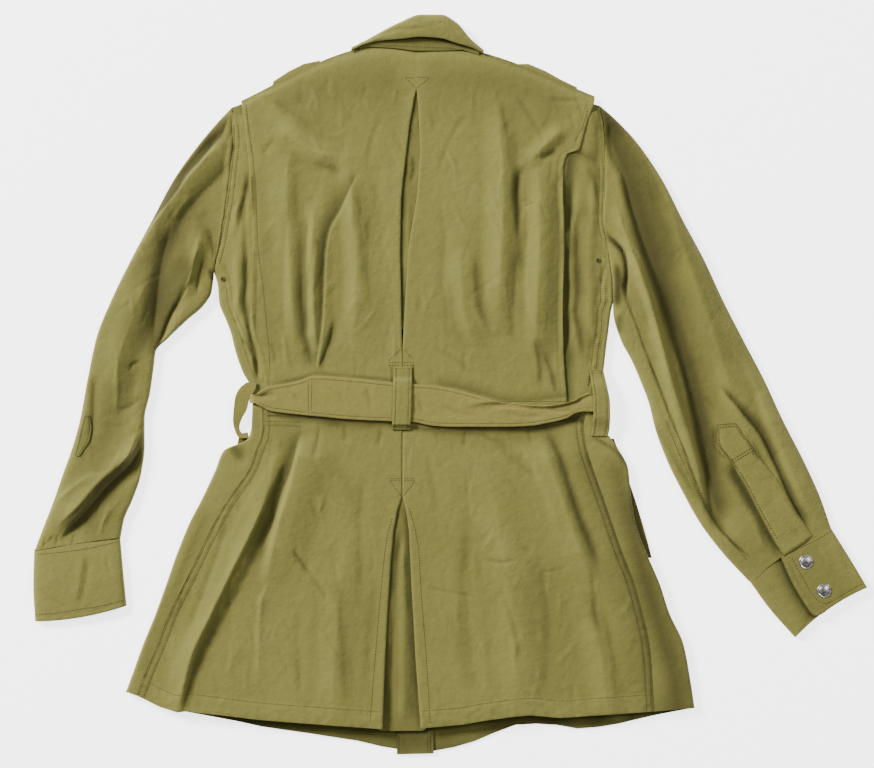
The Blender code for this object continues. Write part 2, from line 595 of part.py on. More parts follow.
def collar(collection):
    """Collar leaf, folded over the top and carried on under the fronts."""
    sections = []
    for x, leaf_y, fold_y, front_y, top in between(COLLAR, 2):
        turn = min(3.0, (fold_y - leaf_y) * 0.35)
        sections.append([
            [x, leaf_y, top], [x, (leaf_y + fold_y) / 2, top + 0.6], [x, fold_y - turn, top],
            [x, fold_y, top / 2], [x, fold_y - turn, 0], [x, (fold_y + front_y) / 2, 0],
            [x, front_y, 0],
        ])
    return skin("collar", np.array(sections), collection, colour=COTTON, thick=COLLAR_CLOTH, flip=True)


def neck_edge(x):
    """y of the back's neck and shoulder edge at x."""
    table, end_x = (BACK_LEFT[0], BACK_LEFT[0][1]) if x < -36 else (BACK_RIGHT[0], BACK_RIGHT[0][1])
    share = (x + 36) / (end_x + 36)
    return table[0] + share * (table[2] - table[0]) + bow(share, table[3], table[4])


def collar_stand(collection):
    """Strip of the collar between the neck seam and the leaf that falls over it."""
    leaf = np.array(COLLAR, float)
    sections = []
    for x in np.linspace(-84, 20, 9):
        low = neck_edge(x) + SEAM
        high = np.interp(x, leaf[:, 0], leaf[:, 1]) + 3.5
        sections.append([[x, low, 6.2], [x, (low + high) / 2, 7.2], [x, max(high, low + 3), 7.6]])
    return skin("collar_stand", np.array(sections), collection)


def flat_piece(name, rows, thick, columns, side, collection):
    """A piece that lies flat on the floor."""
    x, y = ruled(np.array(rows, float), columns)
    return skin(name, np.stack([x, y, np.full_like(x, thick)], axis=2), collection, thick=thick, flip=side > 0)


def belt_run(name, side, collection):
    """Half of the belt, from its seam round the wearer's side to the middle of the front."""
    back = BELT_BACK_LEFT if side < 0 else BELT_BACK_RIGHT
    turn_x = BELT_TURN_LEFT if side < 0 else BELT_TURN_RIGHT
    edges = BELT_TIP_Y if side < 0 else back[-1][1:3]
    middle = (FRONT_EDGE_LEFT + FRONT_EDGE_RIGHT) / 2
    path = [(x, BELT_TOP + up, high, low) for x, high, low, up in back]
    path[0] = (path[0][0] + side * SEAM / 2, *path[0][1:])
    half = BELT_TOP / 2
    for angle in np.radians([0, 45, 90, 135, 180]):
        path.append((turn_x - side * half * (1 - np.sin(angle)), half * (1 + np.cos(angle)), *edges))
    front_start = turn_x - side * 45
    path.append((front_start, 0, *BELT_FRONT_Y))
    path.append((middle + side * 1.0, 0, *BELT_FRONT_Y))
    sections = []
    for x, z, high, low in path:
        sections.append([[x, high, z], [x, (high + low) / 2, z + (0.4 if z > half else 0)], [x, low, z]])
    points = np.array(sections)
    return skin(name, points, collection, BELT_COTTON, BELT_CLOTH, flip=side < 0)


def standing_loop(name, rows, collection):
    """A belt loop sewn down above and below the belt, arched over it."""
    rows = between(rows, 2)
    sections = [[[left, y, z + CLOTH], [right, y, z + CLOTH]] for left, right, y, z in rows]
    return skin(name, np.array(sections), collection, flip=True)


def drooping_loop(collection):
    """The left belt loop, which has sagged out beside the jacket."""
    rows = between(LOOP_LEFT, 2)
    sections = [[[ox, oy, z - 0.6], [ix, iy, z]] for ox, oy, ix, iy, z in rows]
    return skin("belt_loop_left", np.array(sections), collection, BELT_COTTON, DOUBLE_CLOTH, flip=True)


def snap(name, x, y, base_z, collection):
    """Domed cap of a press stud, turned about its own axis."""
    radius, rise = 7.8, 2.6
    profile = [(radius, 0), (radius, 0.7), (radius * 0.93, 1.1), (radius * 0.78, 1.2)]
    profile += [(radius * 0.74 * np.cos(a), 1.2 + rise * 0.5 * np.sin(a)) for a in np.radians([25, 50, 72])]
    profile = [(0, 0)] + profile + [(0, 1.2 + rise * 0.5)]
    mesh = bpy.data.meshes.new(name)
    verts = [(px * MM, 0, pz * MM) for px, pz in reversed(profile)]
    mesh.from_pydata(verts, [(i, i + 1) for i in range(len(verts) - 1)], [])
    piece = bpy.data.objects.new(name, mesh)
    piece.location = (x * MM, y * MM, base_z * MM)
    collection.objects.link(piece)
    turned = piece.modifiers.new("Turn", "SCREW")
    turned.steps = turned.render_steps = 20
    turned.use_merge_vertices = True
    turned.merge_threshold = 0.00001
    turned.use_smooth_shade = True
    mesh.materials.append(make_material(name, NICKEL, 0.35, 1.0))
    return piece


def build():
    clear_scene()
    pieces = make_collection("paratrooper_jacket")
    for side, word in ((-1, "left"), (1, "right")):
        front(f"front_{word}", side, pieces)
        side_back(f"side_back_{word}", side, pieces)
        back_half(f"back_{word}", side, pieces)
        skirt_half(f"skirt_back_{word}", side, pieces)
        belt_run(f"belt_{word}", side, pieces)
    front_band(pieces)
    underlay("pleat_inlay_back", [(-66, 318, -12, 318), (-78, 200, -16, 200), (-74, 60, -28, 60)], pieces)
    underlay("pleat_inlay_skirt", [(-70, -108, -30, -108), (-104, -240, 0, -240), (-112, -374, 8, -373)], pieces)
    left_sleeve = sleeve("sleeve_left", -1, pieces)
    right_sleeve = sleeve("sleeve_right", 1, pieces)
    cuff_left(pieces)
    cuff_right(pieces)
    placket("sleeve_placket_left", PLACKET_LEFT, left_sleeve, 2, pieces)
    placket("sleeve_placket_right", PLACKET_RIGHT, right_sleeve, 4, pieces)
    collar(pieces)
    collar_stand(pieces)
    flat_piece("shoulder_strap_left", STRAP_LEFT, STRAP_CLOTH, 2, -1, pieces)
    flat_piece("shoulder_strap_right", STRAP_RIGHT, STRAP_CLOTH, 2, -1, pieces)
    flat_piece("hip_pocket_left", POCKET_LEFT, CLOTH, 2, 1, pieces)
    flat_piece("hip_pocket_right", POCKET_RIGHT, CLOTH, 2, -1, pieces)
    standing_loop("belt_loop_centre", LOOP_CENTRE, pieces)
    standing_loop("belt_loop_right", LOOP_RIGHT, pieces)
    drooping_loop(pieces)
    snap("cuff_snap_upper", 385, -191, 8.8, pieces)
    snap("cuff_snap_lower", 404.5, -222, 8.8, pieces)


build()
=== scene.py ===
import bmesh
import bpy
import numpy as np
from mathutils import Matrix, Vector, noise
from mathutils.bvhtree import BVHTree


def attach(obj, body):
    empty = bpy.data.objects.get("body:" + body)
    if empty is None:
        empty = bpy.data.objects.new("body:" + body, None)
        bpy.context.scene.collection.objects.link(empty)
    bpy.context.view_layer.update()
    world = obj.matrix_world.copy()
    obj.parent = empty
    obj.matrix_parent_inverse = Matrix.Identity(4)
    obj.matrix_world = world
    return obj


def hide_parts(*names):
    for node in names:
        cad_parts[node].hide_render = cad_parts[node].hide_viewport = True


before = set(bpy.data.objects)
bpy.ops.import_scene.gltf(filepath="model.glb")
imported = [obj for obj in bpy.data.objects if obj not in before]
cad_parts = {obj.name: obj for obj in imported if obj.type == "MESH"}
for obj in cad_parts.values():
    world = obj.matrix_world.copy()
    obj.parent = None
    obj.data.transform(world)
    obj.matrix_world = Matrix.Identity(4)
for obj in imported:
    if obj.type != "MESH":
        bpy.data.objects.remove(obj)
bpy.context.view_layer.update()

# The jacket lies on a pale, matt table top under a large soft lamp at its upper left, a weaker one
# at its upper right and white walls, and is photographed from straight above with a long lens.
table_mesh = bpy.data.meshes.new("table_top")
work = bmesh.new()
bmesh.ops.create_grid(work, x_segments=1, y_segments=1, size=4.0)
bmesh.ops.translate(work, vec=(0, 0, -0.0004), verts=work.verts)
work.to_mesh(table_mesh)
work.free()
table_top = bpy.data.objects.new("table_top", table_mesh)
bpy.context.collection.objects.link(table_top)
table_paint = bpy.data.materials.new("table_paint")
table_paint.use_nodes = True
for socket, value in (
    ("Base Color", (0.88, 0.89, 0.90, 1)), ("Emission Color", (1.0, 1.0, 1.0, 1)),
    ("Emission Strength", 2.8), ("Roughness", 0.9),
):
    table_paint.node_tree.nodes["Principled BSDF"].inputs[socket].default_value = value
table_mesh.materials.append(table_paint)

for lamp_name, place, size, power in (
    ("lamp_upper_left", (-4.4, 3.0, 2.9), 1.7, 1130.0),
    ("lamp_upper_right", (2.3, 1.4, 3.2), 1.6, 105.0),
):
    lamp = bpy.data.lights.new(lamp_name, "AREA")
    lamp.shape = "DISK"
    lamp.size = size
    lamp.energy = power
    holder = bpy.data.objects.new(lamp_name, lamp)
    holder.location = place
    holder.rotation_euler = (-Vector(place)).to_track_quat("-Z", "Y").to_euler()
    bpy.context.collection.objects.link(holder)

walls = bpy.data.worlds.new("white_walls")
walls.use_nodes = True
walls.node_tree.nodes["Background"].inputs["Color"].default_value = (0.97, 0.98, 1.0, 1)
walls.node_tree.nodes["Background"].inputs["Strength"].default_value = 0.30
bpy.context.scene.world = walls

VIEW_WIDTH = 0.944   # what the picture's width shows of the table, in metres
LENS = 110.0
eye = bpy.data.cameras.new("camera")
eye.lens = LENS
eye.sensor_width = 36.0
eye_holder = bpy.data.objects.new("camera", eye)
eye_holder.location = (-0.0135, 0.0011, VIEW_WIDTH * LENS / 36.0 + 0.006)
bpy.context.collection.objects.link(eye_holder)
bpy.context.scene.camera = eye_holder

# Fronts: two panels of olive cotton twill. They lie face down on the table, turn up round the
# wearer's sides and are sewn to the back at the side seams; the hem is turned in and stitched.
MM = 0.001
CLOTH = 1.3       # one layer of twill with its turned edges, in mm
SEAM = 0.3
WAIST_Y = -18.0
ARMPIT_ROW = 8
UNDER_TOP = 6.6   # height of the side backs and of the cloth inside the pleats
OVER_TOP = 8.2    # height of the back's halves and of its skirt
OLIVE = (0.1275, 0.1188, 0.0262)
# y, and how far the fronts are lifted there: by the collar at the top, by belt and pockets below
LIFT = [(400, 2.1), (272, 2.1), (250, 0), (40, 0), (15, 1.9), (-200, 1.9), (-228, 0), (-400, 0)]

# x and y down each side seam
SEAM_LEFT = [
    (-247, 127), (-242, 108), (-240, 89), (-233, 70), (-227, 55), (-222.5, 40), (-214, 15),
    (-207, -4), (-203, -17.8), (-202, -45), (-204, -57), (-209, -70), (-216, -90), (-237, -121),
    (-253, -147), (-269, -179), (-285, -212), (-301, -244), (-315, -280), (-328, -310),
    (-338, -335),
]
SEAM_RIGHT = [
    (165, 150), (171, 115), (171, 92), (167, 79), (166, 59), (163, 40), (160, 15),
    (157, -4), (151, -17.8), (145, -45), (146, -57), (148.5, -70), (155, -90), (166, -121),
    (175, -147), (186, -179), (199, -212), (208, -244), (216, -280), (219, -312), (221, -352.5),
]
# Columns: y on the front edge, side x and y, how far the section bows up at a third and at two thirds
FRONT_LEFT = [
    (300, -236, 300, 48, 32), (285, -235, 281, 40, 24), (264, -234, 262, 24, 14),
    (245, -236, 243, 10, 6), (224, -238, 224, 4, 2), (194, -242, 194, 0, 0),
    (165, -247, 165, 0, 0), (146, -251, 146, 0, 0), (127, -255, 127, 0, 0),
    (108, -250.5, 108, 0, 0), (89, -249, 89, 0, 0), (70, -241.5, 70, 0, 0),
    (55, -236, 55, 0, 0), (40, -232.5, 40, 0, 0), (15, -224, 15, 0, 0),
    (-4, -214.5, -4, 0, 0), (-17.8, -213, -17.8, 0, 0), (-45, -214, -45, 0, 0),
    (-57, -218, -58, 0, 0), (-72, -244, -71, 0, 0), (-92, -253, -92, 0, 0),
    (-128, -268, -124, 0, 0), (-155, -280, -147, 0, 0), (-195, -294, -181, 0, 0),
    (-230, -306, -215, 0, 0), (-268, -318, -248, 0, 0), (-310, -331, -280, 0, 0),
    (-355, -343, -313, 0, 0), (-395, -350, -332, 0, 0),
]
FRONT_RIGHT = [
    (300, 163, 302, 42, 26), (285, 166, 281, 36, 20), (264, 167.5, 260, 20, 10),
    (245, 168, 238, 8, 4), (219, 168, 217, 2, 1), (196, 167, 196, 0, 0),
    (182, 166.5, 182, 0, 0), (169, 168, 169, 0, 0), (150, 171.5, 150, 0, 0),
    (115, 176.5, 115, 0, 0), (92, 177, 92, 0, 0), (79, 174.5, 79, 0, 0),
    (59, 172, 59, 0, 0), (40, 169.5, 40, 0, 0), (15, 166.5, 15, 0, 0),
    (-4, 164, -4, 0, 0), (-17.8, 163.5, -17.8, 0, 0), (-45, 164.5, -45, 0, 0),
    (-57, 174, -57, 0, 0), (-72, 183, -70, 0, 0), (-92, 193, -90, 0, 0),
    (-128, 196.5, -124, 0, 0), (-155, 201.5, -150, 0, 0), (-195, 214, -184, 0, 0),
    (-230, 227, -214, 0, 0), (-268, 238, -247, 0, 0), (-310, 253, -280, 0, 0),
    (-355, 260, -316, 0, 0), (-396, 265, -349, 0, 0),
]
HEM_FRONT_LEFT = [
    (-350, -332), (-293, -352), (-233, -363), (-201, -370), (-151, -377), (-99, -385), (-57, -395),
    (-21, -396),
]
HEM_FRONT_RIGHT = [
    (-18, -396), (1, -393), (42, -381), (59, -369), (87, -366), (119, -368), (140, -372),
    (171, -369), (223, -357), (265, -349),
]
# Creases. Columns: height, reach on the right hand, reach on the left hand, path walked downwards
CREASES_FRONT = [
    (1.6, 14, 14, [(-300, -330), (-292, -352)]), (1.3, 12, 16, [(-236, -340), (-232, -363)]),
    (1.8, 16, 12, [(-120, -350), (-116, -384)]), (1.4, 14, 14, [(20, -360), (22, -390)]),
    (2.2, 22, 18, [(100, -340), (104, -368)]), (1.6, 14, 16, [(180, -340), (184, -370)]),
    (-1.2, 7, 7, [(-237, -68), (-228, -77), (-220, -87)]), (-1.2, 6, 6, [(176, -62), (184, -74), (190, -86)]),
    (1.2, 9, 9, [(-262, -130), (-284, -176), (-304, -230)]),
    (1.0, 8, 8, [(206, -140), (222, -200), (240, -262)]),
]


def ease(at, keys, values):
    """Smooth curve through values at keys, which never swings past them."""
    width = np.diff(keys)
    slope = np.diff(values) / width
    both = slope[1:] + slope[:-1]
    same = slope[1:] * slope[:-1] > 0
    inner = np.where(same, 2 * slope[1:] * slope[:-1] / np.where(same, both, 1), 0)
    lean = np.concatenate([[slope[0]], inner, [slope[-1]]])
    spot = np.clip(np.searchsorted(keys, at, side="right") - 1, 0, len(width) - 1)
    t = (at - keys[spot]) / width[spot]
    rise = t * t * (3 - 2 * t)
    curve = values[spot] * (1 - rise) + values[spot + 1] * rise
    curve += t * (1 - t) ** 2 * width[spot] * lean[spot]
    return curve - t * t * (1 - t) * width[spot] * lean[spot + 1]


BOTH_EDGES = 1.414   # a step of both edges at once counts as a step of one


def eased_rows(rows, spacing):
    """Sections about every spacing mm, eased through a table whose first columns are both edges."""
    rows = np.array(rows, float)
    steps = np.linalg.norm(np.diff(rows[:, :4], axis=0), axis=1) / BOTH_EDGES
    run = np.concatenate([[0], np.cumsum(np.maximum(steps, 0.05))])
    at = np.linspace(0, run[-1], int(run[-1] / spacing) + 2)
    return np.stack([ease(at, run, column) for column in rows.T], axis=1)


def straight_rows(rows, spacing):
    """Sections about every spacing mm, drawn straight from row to row so that corners stay sharp."""
    rows = np.array(rows, float)
    steps = np.linalg.norm(np.diff(rows[:, :4], axis=0), axis=1) / BOTH_EDGES
    run = np.concatenate([[0], np.cumsum(steps)])
    at = np.unique(np.concatenate([np.linspace(0, run[-1], int(run[-1] / spacing) + 2), run]))
    return np.stack([np.interp(at, run, column) for column in rows.T], axis=1)


def walked(line):
    """Distance walked along a line at each of its points."""
    return np.concatenate([[0], np.cumsum(np.linalg.norm(np.diff(line, axis=0), axis=1))])


def eased_path(path, spacing=5.0):
    """Points along a smooth line through a few given ones."""
    path = np.array(path, float)
    run = walked(path)
    at = np.linspace(0, run[-1], max(2, int(run[-1] / spacing) + 1))
    return np.stack([ease(at, run, column) for column in path.T], axis=1)


def edged(width, step=1.8):
    """Shares of a section, close together at its two edges where the stitching is."""
    edge = np.array([0, 0.6, 1.3, 2.0, 2.8, 3.7, 4.8, 6.1, 7.5, 9.1, 11])
    middle = np.linspace(11, width - 11, max(2, int((width - 22) / step)))[1:-1]
    return np.concatenate([edge, middle, (width - edge)[::-1]]) / width


def read_at(table, where, column, key=0):
    """A column of a table, read between its rows at a value of its key column."""
    table = np.array(sorted(table, key=lambda row: row[key]), float)
    return np.interp(where, table[:, key], table[:, column])


def bow(share, third, two_thirds):
    """Offset along a section that passes through the two given values and ends in nothing."""
    return 27 / 2 * share * (1 - share) * ((2 / 3 - share) * third + (share - 1 / 3) * two_thirds)


def between(rows, shares):
    """x and y of points across sections, from the first edge's columns to the second's."""
    return (rows[:, 0:1] * (1 - shares) + rows[:, 2:3] * shares,
            rows[:, 1:2] * (1 - shares) + rows[:, 3:4] * shares)


def breadth(rows):
    """Distance between the two edges of each section."""
    return np.hypot(rows[:, 2:3] - rows[:, 0:1], rows[:, 3:4] - rows[:, 1:2])


def ramp(value, start, end):
    """Rises evenly from 0 to 1 as a value goes from start to end."""
    return np.clip((value - start) / (end - start), 0, 1)


def bell(distance, reach):
    """1 at no distance, falling off softly on both sides."""
    return np.exp(-((distance / reach) ** 2))


def nearest(path, x, y):
    """Distance from points to a line, whether they are on its left hand, and where on it: the
    number of the nearest stretch and the share of it that has been walked."""
    away = np.full(x.shape, 1e9)
    left, stretch, share = np.zeros(x.shape, bool), np.zeros(x.shape, int), np.zeros(x.shape)
    for step, (start, way) in enumerate(zip(path, np.diff(path, axis=0))):
        from_x, from_y = x - start[0], y - start[1]
        along = np.clip((from_x * way[0] + from_y * way[1]) / np.linalg.norm(way) ** 2, 0, 1)
        off_x, off_y = from_x - along * way[0], from_y - along * way[1]
        off = np.hypot(off_x, off_y)
        nearer = off < away
        away = np.where(nearer, off, away)
        left = np.where(nearer, way[0] * off_y - way[1] * off_x > 0, left)
        stretch = np.where(nearer, step, stretch)
        share = np.where(nearer, along, share)
    return away, left, stretch, share


def relief(x, y, creases):
    """Height of listed soft creases, each uneven along its length and fading at its ends."""
    total = np.zeros_like(x)
    for number, (height, right_reach, left_reach, path) in enumerate(creases):
        path = eased_path(path, 4.0)
        run = walked(path)
        widest = max(right_reach, left_reach)
        margin = widest * 1.3   # an uneven crease reaches no further than this
        low, high = path.min(axis=0) - margin, path.max(axis=0) + margin
        near = (x > low[0]) & (x < high[0]) & (y > low[1]) & (y < high[1])
        if not near.any():
            continue
        away, left, stretch, share = nearest(path, x[near], y[near])
        place = run[stretch] + share * np.diff(run)[stretch]
        wobble = 0.16 * np.sin(place / 17 + number * 2.1) + 0.09 * np.sin(place / 6.3 + number)
        uneven = 1 + wobble * min(1, 8 / widest)
        falls = np.clip(away / (np.where(left, left_reach, right_reach) * uneven), 0, 1)
        ends = np.clip(np.minimum(place, run[-1] - place) / min(0.3 * run[-1] + 1e-6, 26), 0, 1)
        drop = 0.25 * (1 - falls**2) ** 2 + 0.75 * (1 - falls) ** 2.4
        total[near] += height * uneven * drop * ends * ends * (3 - 2 * ends)
    return total


def folds(x, y, table):
    """Height of the large folds, in the same columns; they keep a quarter of it at their ends."""
    total = np.zeros_like(x)
    for height, right_reach, left_reach, crest in table:
        crest = np.array(crest, float)
        run = walked(crest)
        smooth = np.stack([ease(np.linspace(0, run[-1], 24), run, c) for c in crest.T], axis=1)
        away, left, stretch, share = nearest(smooth, x, y)
        falls = np.clip(away / np.where(left, left_reach, right_reach), 0, 1)
        share = (stretch + share) / (len(smooth) - 1)
        ends = np.clip(np.minimum(share, 1 - share) * 5, 0, 1)
        total += height * (0.6 * (1 - falls**2) ** 2 + 0.4 * (1 - falls) ** 2) * (0.25 + 0.75 * ends)
    return total


def lying(z, lowest, give=1.5):
    """Keeps cloth that sinks into a hollow above what it lies on, softly."""
    return np.where(z < lowest + give, lowest + give * np.exp(np.minimum(z - lowest - give, 0) / give), z)


def small_creases(seed, count, corner, far_corner, lean=90, spread=20):
    """Many faint creases of wear, mostly along the way the cloth is pulled."""
    chance = np.random.default_rng(seed)
    creases = []
    for _ in range(count):
        x, y = chance.uniform(corner[0], far_corner[0]), chance.uniform(corner[1], far_corner[1])
        way = np.radians(lean + chance.normal(0, spread))
        bend, length = chance.uniform(-0.5, 0.5), chance.uniform(14, 52)
        path = [(x, y)]
        for _ in range(3):
            x, y = x - length / 3 * np.cos(way), y - length / 3 * np.sin(way)
            way += bend / 2
            path.append((x, y))
        height = chance.choice([-0.5, -0.4, 0.45, 0.65]) * chance.uniform(0.6, 1.2)
        creases.append((height, chance.uniform(2.5, 6), chance.uniform(2.5, 6), path))
    return creases


def unrest(x, y, seed, size, amount):
    """Slow uneven swell of cloth after long wear and washing."""
    flat = zip(x.ravel() / size, y.ravel() / size)
    return amount * np.array([noise.noise((a, b, seed)) for a, b in flat]).reshape(x.shape)


def worn_cloth(x, y, seed, calm=1.0):
    """Swell, shallow wrinkles and crumple of the twill together."""
    z = unrest(x, y, seed, 70, 1.3)
    lines = 0
    for number, (size, sharp, amount) in enumerate(((48, 0.12, 0.26), (27, 0.14, 0.15))):
        ridged = np.abs(unrest(x + 9 * z, y * 0.6 - 7 * z, seed + 17 + number, size, 1.0))
        lines = lines + amount * np.clip(1 - ridged / sharp, 0, 1) ** 1.5 * (1 - 2 * number)
    return calm * (z - lines + unrest(x, y, seed + 9, 21, 0.25) + unrest(x, y, seed + 4, 8, 0.10))


def sewn_edge(inset, x, y, seed, rows=(2.0,), pucker=0.45, rounding=0.35):
    """What sewing does near an edge: the edge rolls down, each row of thread pulls in, the cloth
    between puckers."""
    z = -rounding * np.exp(-inset / 0.7)
    for place in rows:
        z = z - 0.35 * bell(inset - place, 0.85)
    zone = np.exp(-((inset / (max(rows) + 5)) ** 2))
    return z + zone * unrest(x, y, seed, 6.5, pucker)


def shader_node(nodes, kind, **values):
    """A new node of a material, with some of its inputs set."""
    made = nodes.new("ShaderNode" + kind)
    for name, value in values.items():
        made.inputs[name.replace("_", " ")].default_value = value
    return made


def cotton(name, colour, grain, bumps=0.7):
    """Olive twill: fine diagonal ribs and slubs, broad uneven fading, pale on its ridges from wear,
    with painted shade and painted light laid on by the cloth's attribute.
    """
    material = bpy.data.materials.new(name)
    material.use_nodes = True
    nodes, links = material.node_tree.nodes, material.node_tree.links
    shader = nodes["Principled BSDF"]
    for socket, value in (
        ("Roughness", 0.88), ("Specular IOR Level", 0.18), ("Sheen Weight", 0.12),
        ("Sheen Roughness", 0.55), ("Sheen Tint", (0.85, 0.80, 0.55, 1)),
    ):
        shader.inputs[socket].default_value = value
    where = nodes.new("ShaderNodeTexCoord")
    turned = shader_node(nodes, "Mapping", Rotation=(0, 0, np.radians(grain)))
    links.new(where.outputs["Object"], turned.inputs["Vector"])

    def texture(scale, detail, rough=0.55, stretch=None):
        made = shader_node(nodes, "TexNoise", Scale=scale, Detail=detail, Roughness=rough)
        source = turned.outputs["Vector"]
        if stretch:
            squeezed = shader_node(nodes, "Mapping", Scale=stretch)
            links.new(source, squeezed.inputs["Vector"])
            source = squeezed.outputs["Vector"]
        links.new(source, made.inputs["Vector"])
        return made.outputs["Fac"]

    def blend(share, low, high, first, second):
        reach = shader_node(nodes, "MapRange", From_Min=low, From_Max=high)
        links.new(share, reach.inputs["Value"])
        mixed = nodes.new("ShaderNodeMix")
        mixed.data_type = "RGBA"
        links.new(reach.outputs["Result"], mixed.inputs["Factor"])
        for socket, value in ((mixed.inputs[6], first), (mixed.inputs[7], second)):
            if isinstance(value, tuple):
                socket.default_value = (*value, 1)
            else:
                links.new(value, socket)
        return mixed.outputs[2]

    def shade(red, green, blue):
        return colour[0] * red, colour[1] * green, colour[2] * blue

    faded = shade(1.12, 1.11, 1.22)
    tone = blend(texture(7.0, 3), 0.35, 0.68, shade(0.90, 0.91, 0.82), faded)
    tone = blend(texture(19.0, 4), 0.50, 0.82, tone, shade(1.06, 0.98, 0.80))
    tone = blend(texture(150.0, 4, 0.7), 0.42, 0.75, tone, shade(0.84, 0.85, 0.76))
    tone = blend(texture(420.0, 3, 0.7), 0.55, 0.85, tone, shade(1.22, 1.2, 1.3))
    tone = blend(texture(2600.0, 2, stretch=(1, 0.16, 1)), 0.25, 0.8, tone, faded)
    tone = blend(texture(900.0, 3, 0.7), 0.58, 0.95, tone, shade(0.62, 0.60, 0.5))
    # The cloth's attribute makes the colour paler towards 1 (ridges pale from wear, and painted light) and
    # darker towards -1 (painted shade in hollows, folds, pleats and under edges)
    painted_light_and_wear = nodes.new("ShaderNodeAttribute")
    painted_light_and_wear.attribute_name = "painted_light_and_wear"
    tone = blend(painted_light_and_wear.outputs["Fac"], 0.0, 1.0, tone, shade(1.45, 1.45, 1.7))
    tone = blend(painted_light_and_wear.outputs["Fac"], 0.0, -1.0, tone, shade(0.25, 0.235, 0.15))
    links.new(tone, shader.inputs["Base Color"])
    ribs = shader_node(nodes, "TexWave", Scale=270.0, Distortion=1.6, Detail=2.0)
    ribs.bands_direction = "DIAGONAL"
    links.new(turned.outputs["Vector"], ribs.inputs["Vector"])
    fine = shader_node(nodes, "Bump", Strength=0.22, Distance=0.0002)
    links.new(ribs.outputs["Fac"], fine.inputs["Height"])
    crumple = shader_node(nodes, "Bump", Strength=bumps, Distance=0.0016)
    links.new(texture(105.0, 7, 0.68), crumple.inputs["Height"])
    links.new(fine.outputs["Normal"], crumple.inputs["Normal"])
    links.new(crumple.outputs["Normal"], shader.inputs["Normal"])
    return material


def blurred(z, reach):
    """Mean over a few neighbours each way, edges repeated."""
    for axis in (0, 1):
        padded = np.concatenate([
            np.repeat(np.take(z, [0], axis), reach, axis), z,
            np.repeat(np.take(z, [-1], axis), reach, axis)], axis)
        run = np.cumsum(np.concatenate([np.zeros_like(np.take(padded, [0], axis)), padded], axis), axis)
        count = z.shape[axis]
        last = np.take(run, range(2 * reach + 1, 2 * reach + 1 + count), axis)
        z = (last - np.take(run, range(count), axis)) / (2 * reach + 1)
    return z


def mesh_of(name, work):
    """The mesh of what was drawn with bmesh."""
    mesh = bpy.data.meshes.new(name)
    work.to_mesh(mesh)
    work.free()
    return mesh


def finished(name, mesh, paint):
    """A smooth, painted object that rides on the jacket's one body."""
    mesh.shade_smooth()
    mesh.materials.append(paint)
    piece = bpy.data.objects.new(name, mesh)
    bpy.context.collection.objects.link(piece)
    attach(piece, "root")
    return piece


def cloth(node, points, paint, wall=CLOTH, tube=False, flip=False, keep=None, tone=None):
    """A piece of cloth: a fine grid laid on the panel's form, its wall grown inwards. Its colour is
    paler on ridges, where cloth fades with wear, and darker in hollows, mostly as painted shade; the
    tone adds painted shade below 0 and painted light above 0."""
    rows, columns = points.shape[:2]
    height = points[:, :, 2]
    painted_light_and_wear = (height - blurred(height, 4)) * 0.17 + (height - blurred(height, 12)) * 0.08
    painted_light_and_wear = np.clip(painted_light_and_wear, -0.6, 0.26)   # hollows: mostly painted shade, a little dye kept; ridges: faded by wear
    if tone is not None:
        painted_light_and_wear = np.tanh(1.15 * (painted_light_and_wear + tone))
    work = bmesh.new()
    bmesh.ops.create_grid(work, x_segments=columns - 1, y_segments=rows - 1, size=0.5)
    layer = work.verts.layers.float.new("painted_light_and_wear")
    for vert, place, value in zip(work.verts, points.reshape(-1, 3) * MM, painted_light_and_wear.ravel()):
        vert.co = place
        vert[layer] = value
    work.verts.ensure_lookup_table()
    if keep is not None:
        lost = [vert for vert in work.verts if not keep(*divmod(vert.index, columns))]
        bmesh.ops.delete(work, geom=lost, context="VERTS")
    if tube:
        bmesh.ops.remove_doubles(work, verts=work.verts, dist=1e-6)
    if flip:
        bmesh.ops.reverse_faces(work, faces=work.faces)
    for edge in work.edges:
        edge.smooth = not edge.is_boundary
    area = sum(face.calc_area() for face in work.faces)
    piece = finished(node + "_cloth", mesh_of(node + "_cloth", work), paint)
    thick = piece.modifiers.new("Wall", "SOLIDIFY")
    thick.thickness = wall * MM
    thick.offset = -1
    thick.use_even_offset = True
    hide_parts(node)
    wide = np.linalg.norm(np.diff(points, axis=1), axis=2).sum(axis=1).max() * MM
    long = np.linalg.norm(np.diff(points, axis=0), axis=2).sum(axis=0).max() * MM
    flat = (round(float(wide) + 0.001, 3), round(float(long) + 0.001, 3))
    least = 0.301 * flat[0] * flat[1]   # a long thin slanting piece covers less of its flat size
    area = min(max(area, least), flat[0] * flat[1])
    return piece


def follow_hem(x, y, hem, reach):
    """Bring the last section to the hem, and the ones near it by a fading share."""
    gap = read_at(hem, x[-1], 1) - y[-1]
    count = len(y)
    for row in range(max(0, count - reach), count):
        y[row] += gap * (1 - (count - 1 - row) / reach) ** 2
    return y


jacket_paint = cotton("jacket_twill", OLIVE, 0)
